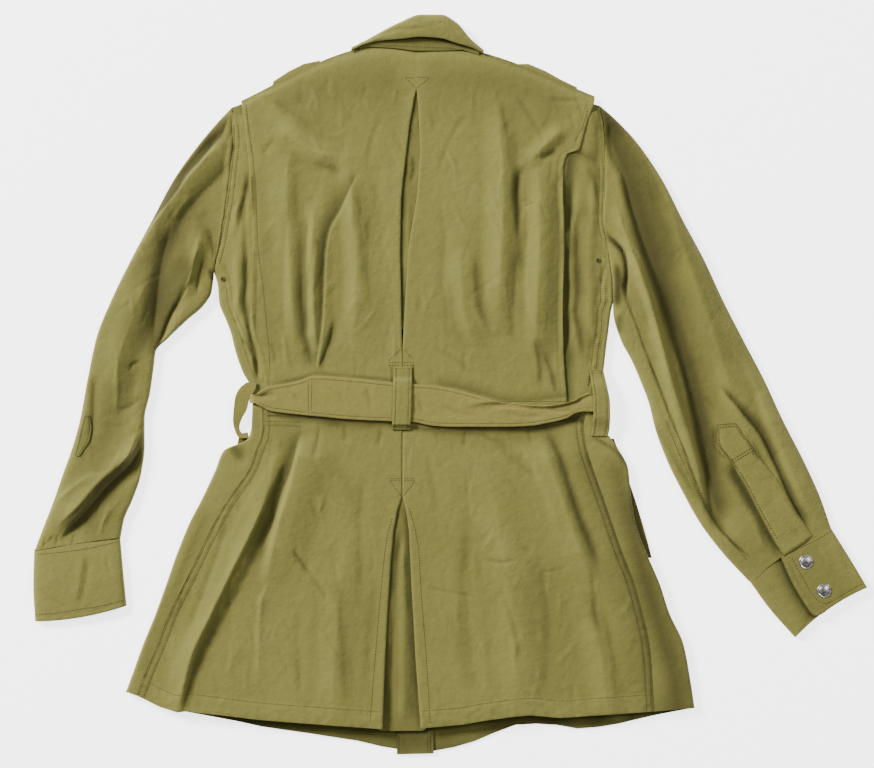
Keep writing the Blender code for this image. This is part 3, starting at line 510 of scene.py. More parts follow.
# Painted shade and painted light on the cloth, laid in soft lines. The columns are those of the
# creases, with the tone in place of the height: below 0 painted shade, above 0 painted light
PAINTED_SHADING_FRONT = [
    (-0.75, 14, 14, [(-244, -58), (-232, -66), (-222, -82)]),
    (-0.3, 26, 44, [(176, -70), (196, -135), (218, -205), (240, -280), (262, -345)]),
    (-0.45, 26, 40, [(170, -60), (186, -120), (204, -190), (222, -250), (240, -310), (250, -380)]),
    (-0.4, 26, 40, [(190, -110), (206, -190), (226, -260), (244, -330), (250, -380)]),
    (-1.0, 6, 3, [(148, -53), (163, -60), (176, -68), (188, -81), (195, -94)]),
    (-0.55, 30, 30, [(-334, -318), (-300, -322), (-270, -330)]),
    (-0.35, 20, 26, [(-262, -120), (-290, -185), (-318, -260), (-338, -325)]),
    (-0.85, 34, 60, [(-330, -360), (-240, -372), (-100, -398), (-10, -402), (120, -392), (240, -372),
        (290, -366)]),
    (-0.6, 14, 30, [(20, -376), (60, -368), (110, -364), (150, -366)]),
    (-0.7, 8, 8, [(-212, -20), (-213, -38), (-218, -54)]), (-0.5, 3, 6, [(58, -350), (60, -392)]),
    (0.3, 4, 4, [(68, -350), (69, -390)]), (-0.5, 5, 3, [(122, -350), (124, -380)]),
    (0.3, 4, 5, [(136, -350), (137, -380)]), (-0.4, 4, 4, [(160, -350), (161, -378)]),
    (-0.45, 3, 5, [(196, -348), (197, -374)]), (-0.5, 3, 3, [(-96, -370), (-97, -398)]),
    (-0.4, 4, 4, [(-190, -360), (-193, -384)]),
]


FOLD_RADIUS = 3.2
HALF_TURN = np.radians(np.linspace(0, 180, 9))[1:]


def front(word, side, edge_x, table, seam, hem):
    """One front: flat under the jacket, turned up round the side, and in to the side seam."""
    table, seam = np.array(table, float), np.array(seam, float)
    above = np.column_stack([table[:ARMPIT_ROW, 1] - side * 9, table[:ARMPIT_ROW, 2]])
    inner = np.vstack([above, seam])   # nothing turns up above the armpit: keep cuts that off again
    full = np.column_stack([np.full(len(table), edge_x), table[:, 0], table[:, 1:], inner])
    rows = eased_rows(full, 3.0)
    armpit_y = table[ARMPIT_ROW, 2]
    shares = np.concatenate([np.linspace(0, 0.72, 10)[:-1], np.linspace(0.72, 1, 18)])
    sections = []
    for _, centre_y, side_x, side_y, third, two_thirds, sewn_x, sewn_y in rows:
        turned = side_y <= armpit_y
        low = float(read_at(LIFT, side_y, 1))
        top = UNDER_TOP + (OVER_TOP - UNDER_TOP) * float(ramp(sewn_y, WAIST_Y + 6, WAIST_Y - 6))
        half = (top - low) / 2
        reach = min(half, FOLD_RADIUS)
        turn_x = side_x - side * reach
        start_x = turn_x if turned else side_x - side * 0.8
        x = edge_x + shares * (start_x - edge_x)
        y = centre_y + shares * (side_y - centre_y) + bow(shares, third, two_thirds)
        section = [[px, py, 0.0] for px, py in zip(x, y)]
        for angle in HALF_TURN:
            x = side_x - side * reach * (1 - np.sin(angle))
            section.append([x, side_y, half * (1 - np.cos(angle))])
        for part in (0.12, 0.25, 0.38, 0.5, 0.62, 0.72, 0.82, 0.9, 0.96, 1.0):
            x, y = turn_x * (1 - part) + sewn_x * part, side_y * (1 - part) + sewn_y * part
            section.append([x, y, top - low])
        sections.append(section)
    points = np.array(sections)
    flat_count = len(shares)
    flat = points[:, :flat_count]
    flat[:, :, 1] = follow_hem(flat[:, :, 0], flat[:, :, 1], hem, 18)
    x, y = points[:, :, 0], points[:, :, 1]
    points[:, :, 2] += read_at(LIFT, y, 1)
    waves = relief(x, y, CREASES_FRONT) + worn_cloth(x, y, 3.0 + side, 0.5)
    strip = np.zeros(points.shape[1])
    strip[flat_count + 5:] = 1
    strip[-4:] = [0.9, 0.6, 0.3, 0.1]
    hem_zone = ramp(y, -300, -360) * (strip[None, :] == 0)
    waves = waves * strip[None, :] + np.clip(waves, 0, 3) * hem_zone
    points[:, :, 2] = np.maximum(points[:, :, 2] + waves, 0)
    # Tone: the painted shade and painted light of the fronts' table
    cloth(f"front_{word}", points, jacket_paint, flip=side < 0, tone=relief(x, y, PAINTED_SHADING_FRONT),
          keep=lambda row, column: column < flat_count or rows[row][3] <= armpit_y)


front("left", -1, -21.0, FRONT_LEFT, SEAM_LEFT, HEM_FRONT_LEFT)
front("right", 1, -18.0, FRONT_RIGHT, SEAM_RIGHT, HEM_FRONT_RIGHT)

# Front band: a doubled strip down the edge where the fronts lap, with two rows of stitching.
# Its tail hangs below the hem in the middle.
BAND_WIDTH = 40
LAPPED_FRONTS = 3.1   # what the band lies on, in mm
BAND_Y = (262, 250, 160, 40, 15, -100, -200, -228, -320, -370)
rows = eased_rows([(-57, y, -17, y) for y in BAND_Y] + [(-57, -399.5, -17, -398.5)], 3.0)
shares = edged(BAND_WIDTH, 3.0)[None, :]
x, y = between(rows, shares)
z = read_at(LIFT, y, 1) + LAPPED_FRONTS
z += np.clip(worn_cloth(x, y, 61.0, 0.6), -0.5, 1.0) * ramp(y, -330, -360)
for inset in (shares * BAND_WIDTH, (1 - shares) * BAND_WIDTH):
    z += sewn_edge(inset + 0 * x, x, y, 66.0, (2.5,), 0.2)
# The tail is painted darker below the back's hem, as painted shade, and a little darker towards its left edge
front_band = cloth("front_band", np.stack([x, y, z], axis=2), jacket_paint, flip=True,
                   tone=-0.85 * ramp(y, -410, -384) - 0.2 * ramp(x, -40, -60))

# Hip pockets: flat patches sewn to the outside of the fronts, so they are between the fronts and
# the table. Only a sliver of the right one shows past the skirt's edge.
# Columns: x and y of both edges
POCKET_LEFT = [(-228, -56, -70, -56), (-240, -120, -82, -120), (-262, -188, -104, -192)]
POCKET_RIGHT = [
    (178, -58, 22, -58), (199, -118, 43, -118), (211, -157, 52, -157), (219, -187, 60, -190),
]
POCKET_WIDTH, POCKET_TOP = 156, 1.5
for word, pocket, turn in (("left", POCKET_LEFT, True), ("right", POCKET_RIGHT, False)):
    rows = eased_rows(pocket, 4.0)
    shares = edged(POCKET_WIDTH, 9.0)[None, :]
    x, y = between(rows, shares)
    z = POCKET_TOP - 0.2 * bell(shares * POCKET_WIDTH, 0.8) + 0 * x
    # The pockets are painted darker all over: painted shade, as they lie under the skirt's edge
    cloth(f"hip_pocket_{word}", np.stack([x, y, z], axis=2), jacket_paint, flip=turn, tone=-0.6 + 0 * x)

# Shoulder straps: doubled tabs sewn into the shoulder seam and buttoned at the neck on the
# front, so only their ends past the shoulder line show.
STRAP_LEFT = [
    (-190, 328, -208, 285), (-173, 339, -190, 297), (-157, 347, -172, 307), (-140, 350.5, -152, 312),
]
STRAP_RIGHT = [
    (68, 346.5, 85, 308), (85, 347, 98, 305), (103, 339.5, 112, 298), (120, 330, 124, 290),
    (138, 321.5, 128, 283),
]
STRAP_WIDTH, STRAP_TOP = 44, 1.8
for word, strap in (("left", STRAP_LEFT), ("right", STRAP_RIGHT)):
    rows = straight_rows(strap, 2.0)
    shares = edged(STRAP_WIDTH, 3.0)[None, :]
    x, y = between(rows, shares)
    z = STRAP_TOP - 0.35 * bell(shares * STRAP_WIDTH, 0.8) + 0 * x
    cloth(f"shoulder_strap_{word}", np.stack([x, y, z], axis=2), jacket_paint, wall=1.6, flip=True)

# Side backs: the panels next to the armholes, which the back's action pleats fold over. They
# are sewn to the sleeves and at the side seams, and gather softly down to the waist.
ARMHOLE_LEFT = [
    (-236, 300), (-235, 281), (-234, 262), (-236, 243), (-238, 224), (-242, 194), (-247, 165),
    (-251, 146), (-255, 132),
]
ARMHOLE_RIGHT = [
    (163, 302), (166, 281), (167.5, 260), (168, 238), (168, 217), (167, 196), (166.5, 182),
    (168, 169), (171.5, 157),
]
CREASES_SIDE_LEFT = [
    (-2.6, 5, 8, [(-217, 232), (-220, 208), (-224, 195), (-227, 161)]),
    (1.4, 5, 6, [(-219, 213), (-225, 200), (-231, 185), (-234, 157)]),
    (-3.4, 5, 9, [(-223, 160), (-220, 133), (-220, 113), (-222, 92), (-219, 72), (-215, 51), (-210, 36),
        (-206, 0)]),
    (-1.8, 4, 6, [(-238, 59), (-226, 49), (-215, 40), (-210, 30), (-206, 0)]),
    (1.8, 8, 8, [(-231, 150), (-229, 108), (-229, 70)]), (-0.9, 4, 4, [(-228, 43), (-220, 25), (-217, 1)]),
    (-0.8, 4, 4, [(-239, 92), (-233, 72), (-226, 59)]), (-1.0, 5, 5, [(-248, 133), (-239, 120), (-236, 103)]),
    (-0.8, 4, 5, [(-240, 190), (-233, 172), (-228, 150)]), (0.9, 3, 3, [(-234, 80), (-226, 62), (-218, 47)]),
    (0.8, 3, 3, [(-222, 34), (-214, 20), (-210, 4)]),
]
CREASES_SIDE_RIGHT = [
    (-3.6, 6, 8, [(132, 230), (131, 200), (129, 165), (127, 103), (127, 30)]),
    (-2.8, 8, 10, [(143, 198), (138, 165), (138, 133), (139, 103), (137, 79), (141, 57), (145, 30)]),
    (2.2, 8, 9, [(156, 236), (154, 189), (152, 146), (152, 92), (155, 43)]),
    (-1.2, 5, 5, [(147, 242), (158, 216), (163, 184)]), (-1.3, 5, 5, [(170, 135), (163, 108), (158, 81)]),
    (-0.9, 4, 4, [(163, 59), (152, 38), (150, 5)]), (-1.7, 10, 8, [(136, 254), (150, 245), (166, 241)]),
    (0.9, 4, 4, [(131, 190), (133, 160), (132, 120)]), (-0.8, 4, 4, [(158, 130), (150, 112), (146, 90)]),
]


# Painted shade and painted light on the side backs, in the columns of the creases: dark beside the back's
# fold edges, in creases and by the armholes, paler on a ridge of the left one
PAINTED_SHADING_SIDE_LEFT = [
    (0.3, 14, 14, [(-226, 200), (-232, 150), (-230, 90), (-222, 40)]),
    (-0.5, 6, 4, [(-217, 240), (-222, 190), (-222, 150), (-220, 92), (-215, 49), (-206, -8)]),
    (-0.3, 5, 6, [(-246, 70), (-236, 52), (-226, 40), (-214, 5)]),
]
PAINTED_SHADING_SIDE_RIGHT = [
    (-1.4, 4, 15, [(138, 275), (128, 240), (124, 205), (124, 150), (123, 90), (124, 20), (127, -30)]),
    (-0.42, 20, 18, [(150, 210), (151, 120), (152, 20)]),
    (-0.5, 8, 9, [(133, 180), (137, 135), (138, 103), (136, 81), (141, 59), (144, 20)]),
    (-0.65, 16, 13, [(162, 318), (160, 270), (157, 235), (162, 195)]),
]


# x by y: where each side back ends under the back, and how far out the back's fold covers it
INSIDE_LEFT = [(300, -190), (130, -182), (55, -183), (-18, -166)]
INSIDE_RIGHT = [(300, 112), (250, 96), (-18, 92)]
COVER_LEFT = [(-18, 200), (40, 207), (130, 212), (230, 214), (300, 222)]
COVER_RIGHT = [(-18, 127), (40, 120), (130, 122), (230, 122), (300, 150)]


def side_back(word, side, armhole, seam, armpit, inside, cover, creases, painted_shading):
    """One side back, from under the back's fold to the armhole and the side seam."""
    edge = np.array(armhole + [row for row in seam if row[1] >= WAIST_Y], float)
    edge[0, 1] -= 5
    edge[len(armhole)] = armpit
    edge[:, 0] -= side * SEAM / 2
    inner = np.stack([read_at(inside, edge[:, 1], 1), edge[:, 1]], axis=1)
    inner[0, 1] -= 14
    inner[1, 1] -= 6
    rows = eased_rows(np.concatenate([inner, edge], axis=1), 2.4)
    shares = edged(58, 2.0)[None, :]
    x, y = between(rows, shares)
    inset = (1 - shares) * breadth(rows)
    z = relief(x, y, creases) + worn_cloth(x, y, 12.0 + side, 0.8)
    z = UNDER_TOP + z * np.clip(inset / 4, 0.1, 1) + sewn_edge(inset, x, y, 14.0 + side, (1.8, 6.6), 0.7)
    shown = ramp(x * side - read_at(cover, y, 1), 0, 6)
    z = lying(np.where(shown < 1, np.minimum(z, UNDER_TOP + 4 * shown), z), 2.6)
    # Tone: the painted shade and painted light of the side back's table
    return cloth(f"side_back_{word}", np.stack([x, y, z], axis=2), jacket_paint, flip=side > 0,
                 tone=relief(x, y, painted_shading))


side_back_left = side_back("left", -1, ARMHOLE_LEFT, SEAM_LEFT, (-255.5, 124.5), INSIDE_LEFT,
                           COVER_LEFT, CREASES_SIDE_LEFT, PAINTED_SHADING_SIDE_LEFT)
side_back_right = side_back("right", 1, ARMHOLE_RIGHT, SEAM_RIGHT, (172, 150.5), INSIDE_RIGHT,
                            COVER_RIGHT, CREASES_SIDE_RIGHT, PAINTED_SHADING_SIDE_RIGHT)

# Cloth inside the centre pleats: a flat panel under the two folds of the back, and a wider one
# under those of the skirt, with soft folds of their own where they show.
CREASES_INLAY = [
    (-1.6, 4, 5, [(-40, 250), (-38, 235), (-43, 215)]), (0.8, 4, 4, [(-36, 290), (-38, 270)]),
    (0.9, 5, 5, [(-44, 210), (-45, 150), (-49, 90)]), (-1.8, 5, 6, [(-52, -150), (-60, -230), (-66, -372)]),
    (1.6, 8, 8, [(-50, -160), (-50, -260), (-52, -372)]),
    (-1.6, 6, 5, [(-47, -170), (-41, -260), (-38, -372)]),
]
# Painted shade inside the pleats, along the edges of the folds over them
PAINTED_SHADING_INLAY = [
    (-1.2, 4, 7, [(-36, 324), (-39, 302), (-43, 280), (-46, 254), (-50, 221), (-52, 200), (-53, 146),
        (-52, 60)]),
    (-1.0, 4, 4, [(-51, -125), (-60, -158), (-65, -221), (-69, -292), (-72, -372)]),
    (-1.2, 8, 4, [(-51, -125), (-44, -158), (-41, -221), (-37, -292), (-31, -372)]),
]
for word, inlay in (
    ("back", [(-66, 318, -12, 318), (-78, 200, -16, 200), (-74, 60, -28, 60)]),
    ("skirt", [(-70, -108, -30, -108), (-104, -240, 0, -240), (-112, -374, 8, -373)]),
):
    rows = eased_rows(inlay, 3.0)
    shares = np.linspace(0, 1, 38)[None, :]
    x, y = between(rows, shares)
    y = y + 9 * ramp(np.abs(x + 51.5), 23, 33) * ramp(y, -300, -370)   # corners rise under the hem
    z = UNDER_TOP - 0.2 + relief(x, y, CREASES_INLAY)
    # The inlays are painted darker all over and along their table's lines: painted shade inside the pleats
    cloth(f"pleat_inlay_{word}", np.stack([x, y, z], axis=2), jacket_paint, flip=True,
          tone=relief(x, y, PAINTED_SHADING_INLAY) - 0.28)

# Back: two halves joined down the middle, where a long pleat gapes between its folds, and folded
# over the side backs in deep action pleats. Their neck and shoulder edges are sewn to the fronts.
# Columns: y, x of the gap's left edge, x of its right edge
SLIT = [
    (361, -36, -36), (321, -36, -36), (302, -39, -34), (280, -43, -33), (254, -46, -32),
    (221, -50, -34), (200, -52, -36), (146, -53, -45), (92, -52, -48), (41, -51.2, -50.8),
    (-20, -51, -51),
]
# Columns: y in the middle, x and y on the outer fold, bow at a third and at two thirds
BACK_LEFT = [
    (361, -225, 307, 20, 14), (352, -224, 299, 19, 13), (320, -221, 276, 12, 8), (280, -218, 250, 7, 5),
    (240, -216, 225, 4, 3), (200, -214, 195, 2, 1), (150, -213, 148, 0, 0), (100, -213, 100, 0, 0),
    (65, -215, 65, 0, 0), (40, -209, 43, 0, 0), (20, -202, 21, 0, 0), (-17.8, -198, -17.8, 0, 0),
]
BACK_RIGHT = [
    (361, 157, 312, 16, 11), (352, 156, 304, 15, 10), (325, 151, 291, 12, 8), (300, 145, 272, 9, 6),
    (276, 139.5, 254, 6, 4), (268, 127, 249, 6, 4), (258, 123.5, 239, 5, 3), (225, 122, 208, 3, 2),
    (190, 124, 182, 1, 1), (150, 124, 148, 0, 0), (110, 123, 110, 0, 0), (75, 122, 75, 0, 0),
    (38, 123, 38, 0, 0), (-17.8, 127, -17.8, 0, 0),
]
FOLDS_BACK_LEFT = [
    (6, 12, 24, [(-147, 190), (-149, 130), (-147, 70), (-143, 20)]),
    (4, 28, 14, [(-176, 250), (-175, 180), (-172, 110), (-168, 40)]),
    (5, 18, 34, [(-110, 240), (-104, 180), (-100, 110), (-104, 50)]),
    (4, 20, 20, [(-185, 285), (-150, 255), (-120, 242)]),
]
FOLDS_BACK_RIGHT = [
    (5, 26, 18, [(52, 300), (58, 220), (56, 150), (52, 70)]),
    (6, 16, 26, [(96, 235), (97, 170), (95, 100), (92, 40)]),
    (4, 12, 16, [(84, 240), (102, 258), (124, 278)]), (4, 24, 24, [(10, 150), (14, 90), (26, 40)]),
]
CREASES_BACK_LEFT = [
    (-2.4, 20, 3, [(-98, 234), (-118, 191), (-131, 165), (-135, 138), (-138, 69), (-146, 10)]),
    (-3.0, 12, 7, [(-152, 184), (-155, 151), (-157, 119), (-158, 92), (-155, 65), (-156, 54), (-152, 43),
        (-148, 13)]),
    (1.6, 5, 12, [(-142, 162), (-146, 119), (-147, 92), (-145, 65), (-143, 43), (-140, 14)]),
    (-2.2, 3, 10, [(-124, 74), (-130, 50), (-137, 30), (-145, 10)]),
    (-0.9, 6, 8, [(-198, 313), (-174, 296), (-151, 278)]), (-0.6, 4, 5, [(-187, 299), (-172, 288)]),
    (-0.8, 6, 6, [(-188, 268), (-196, 257), (-202, 245)]),
    (-1.8, 8, 14, [(-112, 226), (-129, 234), (-148, 240)]),
    (1.3, 10, 18, [(-111, 230), (-105, 200), (-107, 165)]),
    (-1.2, 16, 20, [(-86, 189), (-88, 135), (-84, 70)]),
    (-1.0, 10, 10, [(-172, 200), (-177, 157), (-180, 103), (-179, 49)]),
    (-0.7, 5, 6, [(-161, 265), (-138, 254), (-113, 252)]), (-0.6, 5, 6, [(-70, 297), (-84, 265), (-90, 227)]),
    (2.2, 14, 6, [(-216, 236), (-214, 205), (-214, 180)]),
    (1.8, 12, 6, [(-214, 155), (-214, 90), (-208, 40)]), (0.9, 6, 5, [(-180, 60), (-176, 30), (-174, 8)]),
    (-0.9, 5, 5, [(-192, 50), (-186, 20)]),
]
CREASES_BACK_RIGHT = [
    (-3.4, 8, 6, [(79, 240), (74, 221), (73, 204), (75, 187), (74, 154)]),
    (-1.6, 5, 6, [(119, 254), (92, 243)]), (-0.9, 8, 8, [(55, 313), (60, 288), (65, 265)]),
    (-0.9, 6, 7, [(69, 316), (82, 297), (92, 281), (99, 265), (101, 254)]),
    (-0.7, 5, 5, [(103, 308), (130, 307), (156, 308)]),
    (-1.3, 7, 14, [(28, 146), (30, 113), (33, 86), (44, 57)]), (-1.8, 6, 10, [(91, 54), (99, 18), (98, -11)]),
    (-1.8, 6, 8, [(102, 38), (111, 11), (119, -16)]), (-1.0, 4, 6, [(15, 38), (16, 11)]),
    (-1.8, 12, 16, [(74, 151), (71, 113), (68, 72), (72, 38)]),
    (1.4, 8, 14, [(85, 211), (87, 162), (84, 113), (87, 59)]),
    (-0.8, 12, 12, [(-10, 200), (-5, 157), (-10, 92)]), (-0.6, 6, 6, [(22, 297), (1, 265), (-15, 221)]),
    (-0.6, 5, 5, [(76, 200), (93, 197)]), (-0.7, 6, 6, [(-21, 43), (6, 27), (33, 5)]),
    (2.4, 6, 12, [(124, 232), (122, 200), (123, 160)]), (1.6, 6, 12, [(123, 140), (122, 80), (123, 30)]),
]


# Painted shade and painted light on the back's halves: dark along creases, beside the fold edges, above the
# belt and beside the middle loop, darker across the top, paler along some ridges
PAINTED_SHADING_BACK_LEFT = [
    (-0.3, 80, 80, [(-200, 300), (-130, 320), (-40, 330)]),
    (-0.5, 24, 2.5, [(-96, 236), (-118, 191), (-131, 165), (-135, 138), (-138, 69), (-146, 8)]),
    (-0.4, 8, 5, [(-150, 150), (-154, 103), (-156, 59), (-149, 18)]),
    (-0.35, 12, 12, [(-108, 236), (-96, 170), (-92, 100)]),
    (-0.2, 30, 24, [(-196, 180), (-190, 90), (-186, 20)]),
    (-0.6, 2, 10, [(-124, 74), (-130, 50), (-137, 30), (-146, 8)]),
    (0.25, 12, 14, [(-170, 180), (-172, 110), (-166, 50)]),
    (0.2, 14, 14, [(-75, 250), (-72, 170), (-70, 90)]), (-1.0, 3, 3, [(-62.5, 24), (-62.5, 0)]),
    (-0.6, 2, 5, [(-200, 0), (-180, 3), (-161, 7), (-145, 12), (-107, 9.5), (-64, 5), (-39, 3)]),
    (0.25, 8, 10, [(-142, 110), (-141, 60), (-138, 20)]),
]
PAINTED_SHADING_BACK_RIGHT = [
    (-0.3, 80, 80, [(-40, 330), (60, 325), (140, 290)]), (-0.25, 26, 26, [(112, 240), (108, 140), (110, 20)]),
    (-1.1, 2, 1.5, [(80, 192), (86, 196), (95, 198)]),
    (-0.65, 8, 9, [(78, 242), (72, 211), (74, 157), (76, 118)]),
    (-0.3, 9, 12, [(30, 140), (34, 90), (45, 48)]), (-0.4, 20, 12, [(92, 60), (108, 20), (118, -10)]),
    (-0.5, 15, 3, [(150, -4), (124, -12), (70, -17), (33, -9), (7, -2), (-30, 3)]),
    (-0.3, 10, 10, [(55, 310), (62, 265), (66, 230)]), (0.25, 14, 14, [(98, 215), (98, 150), (100, 90)]),
    (0.2, 20, 20, [(40, 230), (50, 160), (56, 90)]), (-1.0, 3, 3, [(-39, 24), (-39, 0)]),
    (-0.25, 14, 14, [(-4, 120), (4, 70), (20, 30)]), (-0.4, 5, 5, [(118, 252), (96, 244)]),
]


NECK_TOP = 5.6   # height of the back at its neck and shoulder edge, where it is sewn down


def belt_fade(y):
    """Folds lie down where the belt holds the cloth."""
    return ramp(np.abs(y + 20), 32, 58)


def back_half(word, side, table, middle, worn_from, worn_to, large_folds, creases, painted_shading):
    """One half of the back, from the slit's edge in the middle to the fold over the side back."""
    full = [(float(read_at(SLIT, y, middle)), y, *others, OVER_TOP) for y, *others in table]
    full[0] = (*full[0][:-1], NECK_TOP)
    rows = eased_rows(full, 1.8)
    rows[:, 0] = read_at(SLIT, rows[:, 1], middle)
    rows[:, 0] += side * 0.15 * ramp(rows[:, 1], 321, 315)
    shares = edged(190, 1.9)[None, :]
    x, y = between(rows, shares)
    y = y + bow(shares, rows[:, 4:5], rows[:, 5:6])
    z = rows[:, 6:7] + folds(x, y, large_folds) * belt_fade(y)
    creased = relief(x, y, creases) + relief(x, y, small_creases(5 + side, 60, worn_from, worn_to))
    z += np.minimum(creased, creased * belt_fade(y) + 0.2) + worn_cloth(x, y, 21.0 + side, 0.75)
    fold_inset, middle_inset = (1 - shares) * breadth(rows), shares * breadth(rows)
    z += sewn_edge(fold_inset, x, y, 24.0 + side, (5.5,), 0.35, 0.6)
    open_slit = ramp(y, 318, 308) * ramp(y, 30, 42)
    z += open_slit * (0.5 * bell(middle_inset, 9) - 0.8 * np.exp(-middle_inset / 0.8))
    # Tone: the painted shade and painted light of the half's table
    return cloth(f"back_{word}", np.stack([x, y, lying(z, 5.0)], axis=2), jacket_paint,
                 flip=side > 0, tone=relief(x, y, painted_shading))


back_left = back_half("left", -1, BACK_LEFT, 1, (-210, 10), (-50, 350), FOLDS_BACK_LEFT,
                      CREASES_BACK_LEFT, PAINTED_SHADING_BACK_LEFT)
back_right = back_half("right", 1, BACK_RIGHT, 2, (-40, 10), (150, 350), FOLDS_BACK_RIGHT,
                       CREASES_BACK_RIGHT, PAINTED_SHADING_BACK_RIGHT)

# Skirt of the back: two flared halves below the waist seam, with a pleat between them that opens
# under a stitched triangle. The hem is turned up 20 mm and stitched.
HEM_DEPTH, HEM_STITCH = 20, 18.5
# Columns as for the slit of the back
PLEAT = [
    (-15, -51, -51), (-121, -51, -51), (-135, -56, -47), (-158, -60, -44), (-189, -63, -42.5),
    (-221, -65, -41), (-254, -67, -39), (-292, -69, -37), (-372, -72, -31),
]
HEM_BACK_LEFT = [
    (-338, -335), (-313, -347), (-293, -353), (-285, -352), (-246, -356), (-205, -361),
    (-140, -366), (-72, -371),
]
HEM_BACK_RIGHT = [
    (-31, -370), (-17, -369), (15, -366), (37, -362), (66, -358), (87, -356), (119, -359),
    (160, -356), (221, -352.5),
]
FOLDS_SKIRT_LEFT = [
    (6, 38, 13, [(-186, -75), (-203, -135), (-220, -178), (-250, -238), (-280, -297), (-294, -350)]),
    (6, 12, 40, [(-150, -38), (-163, -92), (-182, -157), (-198, -210)]),
    (3, 26, 26, [(-112, -170), (-122, -260), (-128, -366)]),
]
FOLDS_SKIRT_RIGHT = [
    (5, 36, 15, [(93, -49), (111, -92), (124, -130), (139, -173), (152, -215)]),
    (3, 30, 30, [(40, -90), (62, -200), (76, -360)]), (3, 26, 20, [(150, -250), (165, -300), (172, -356)]),
]
CREASES_SKIRT_LEFT = [
    (-2.7, 18, 4, [(-162, -50), (-168, -86), (-182, -119), (-192, -152), (-206, -182)]),
    (-2.2, 3, 28, [(-176, -80), (-192, -117), (-215, -167), (-234, -205), (-257, -253), (-272, -285),
        (-290, -360)]),
    (1.6, 14, 4, [(-196, -122), (-219, -170), (-238, -208), (-261, -256), (-276, -288), (-293, -352)]),
    (-1.3, 5, 7, [(-171, -178), (-160, -191), (-150, -208)]),
    (1.2, 6, 8, [(-202, -211), (-206, -254), (-207, -323)]),
    (-1.0, 18, 22, [(-129, -167), (-118, -232), (-112, -329)]),
    (-0.9, 12, 12, [(-91, -92), (-97, -157), (-94, -232)]),
    (-1.1, 8, 8, [(-237, -146), (-252, -185), (-269, -232), (-285, -275)]),
    (-0.8, 10, 10, [(-161, -232), (-164, -286), (-159, -340)]),
    (-0.9, 4, 5, [(-140, -40), (-142, -59), (-148, -83)]), (-0.8, 4, 5, [(-113, -42), (-112, -65)]),
    (-1.0, 3, 5, [(-172, -173), (-150, -205), (-125, -242)]),
    (-0.9, 3, 5, [(-138, -263), (-127, -280), (-116, -300)]), (-0.8, 5, 5, [(-72, -46), (-78, -70)]),
    (1.0, 7, 7, [(-226, -100), (-244, -140), (-258, -175)]),
]
CREASES_SKIRT_RIGHT = [
    (-2.0, 10, 14, [(103, -46), (119, -76), (132, -116), (141, -144), (152, -170), (164, -202)]),
    (-1.6, 12, 15, [(48, -53), (65, -76), (98, -105)]), (-1.1, 14, 14, [(150, -219), (163, -275)]),
    (-1.1, 4, 5, [(18, -48), (15, -68)]), (-1.0, 5, 5, [(33, -50), (44, -59), (55, -64)]),
    (-0.9, 14, 14, [(22, -124), (18, -211), (29, -340)]),
    (-1.0, 12, 14, [(98, -189), (106, -254), (103, -340)]),
    (1.2, 10, 14, [(76, -59), (103, -113), (122, -167)]),
    (-0.8, 10, 10, [(-26, -70), (-19, -103), (-10, -146)]),
    (-0.7, 8, 8, [(163, -232), (176, -286), (182, -340)]), (-0.8, 5, 4, [(84, -46), (90, -66)]),
    (-0.8, 4, 4, [(-14, -50), (-12, -66)]), (-0.9, 3, 4, [(35, -186), (55, -192), (77, -188)]),
    (-0.8, 3, 3, [(-28, -219), (5, -224), (37, -231)]),
    (-1.1, 4, 7, [(55, -222), (65, -245), (71, -266), (78, -305)]),
    (-1.1, 3, 6, [(154, -197), (155, -225), (158, -250), (164, -270)]),
    (-0.7, 3, 4, [(95, -204), (114, -200), (134, -193)]),
]


# Painted shade and painted light on the skirt's halves: dark in the big fold's hollow, under the belt and its
# loops, along the waist's rows of stitching and towards the right side, paler on the lit sides of the folds
PAINTED_SHADING_SKIRT_LEFT = [
    (-0.42, 30, 4, [(-158, -34), (-163, -60), (-168, -86), (-182, -119), (-192, -152), (-206, -182),
        (-216, -200)]),
    (-0.12, 2.5, 38, [(-170, -60), (-180, -90), (-192, -117), (-215, -167), (-234, -205), (-257, -253),
        (-272, -285), (-280, -315), (-290, -360)]),
    (0.25, 3, 14, [(-150, -50), (-160, -86), (-174, -119), (-184, -152)]),
    (0.2, 10, 2, [(-214, -155), (-237, -203), (-260, -251), (-284, -320)]),
    (-0.3, 14, 16, [(-122, -200), (-116, -280), (-112, -350)]),
    (-0.25, 12, 12, [(-80, -200), (-90, -290), (-92, -350)]),
    (-0.55, 1.6, 1.6, [(-203, -33), (-180, -34), (-159, -35)]),
    (-0.5, 1.6, 1.6, [(-200, -41.5), (-160, -42.5)]),
    (-0.9, 8, 5, [(-206, -26), (-180, -33), (-145, -36), (-107, -40), (-64, -42), (-46, -43)]),
    (-0.35, 20, 6, [(-150, -40), (-100, -44), (-60, -46)]), (0.2, 10, 12, [(-206, -240), (-206, -320)]),
    (-0.2, 20, 20, [(-130, -70), (-110, -110), (-96, -150)]),
]
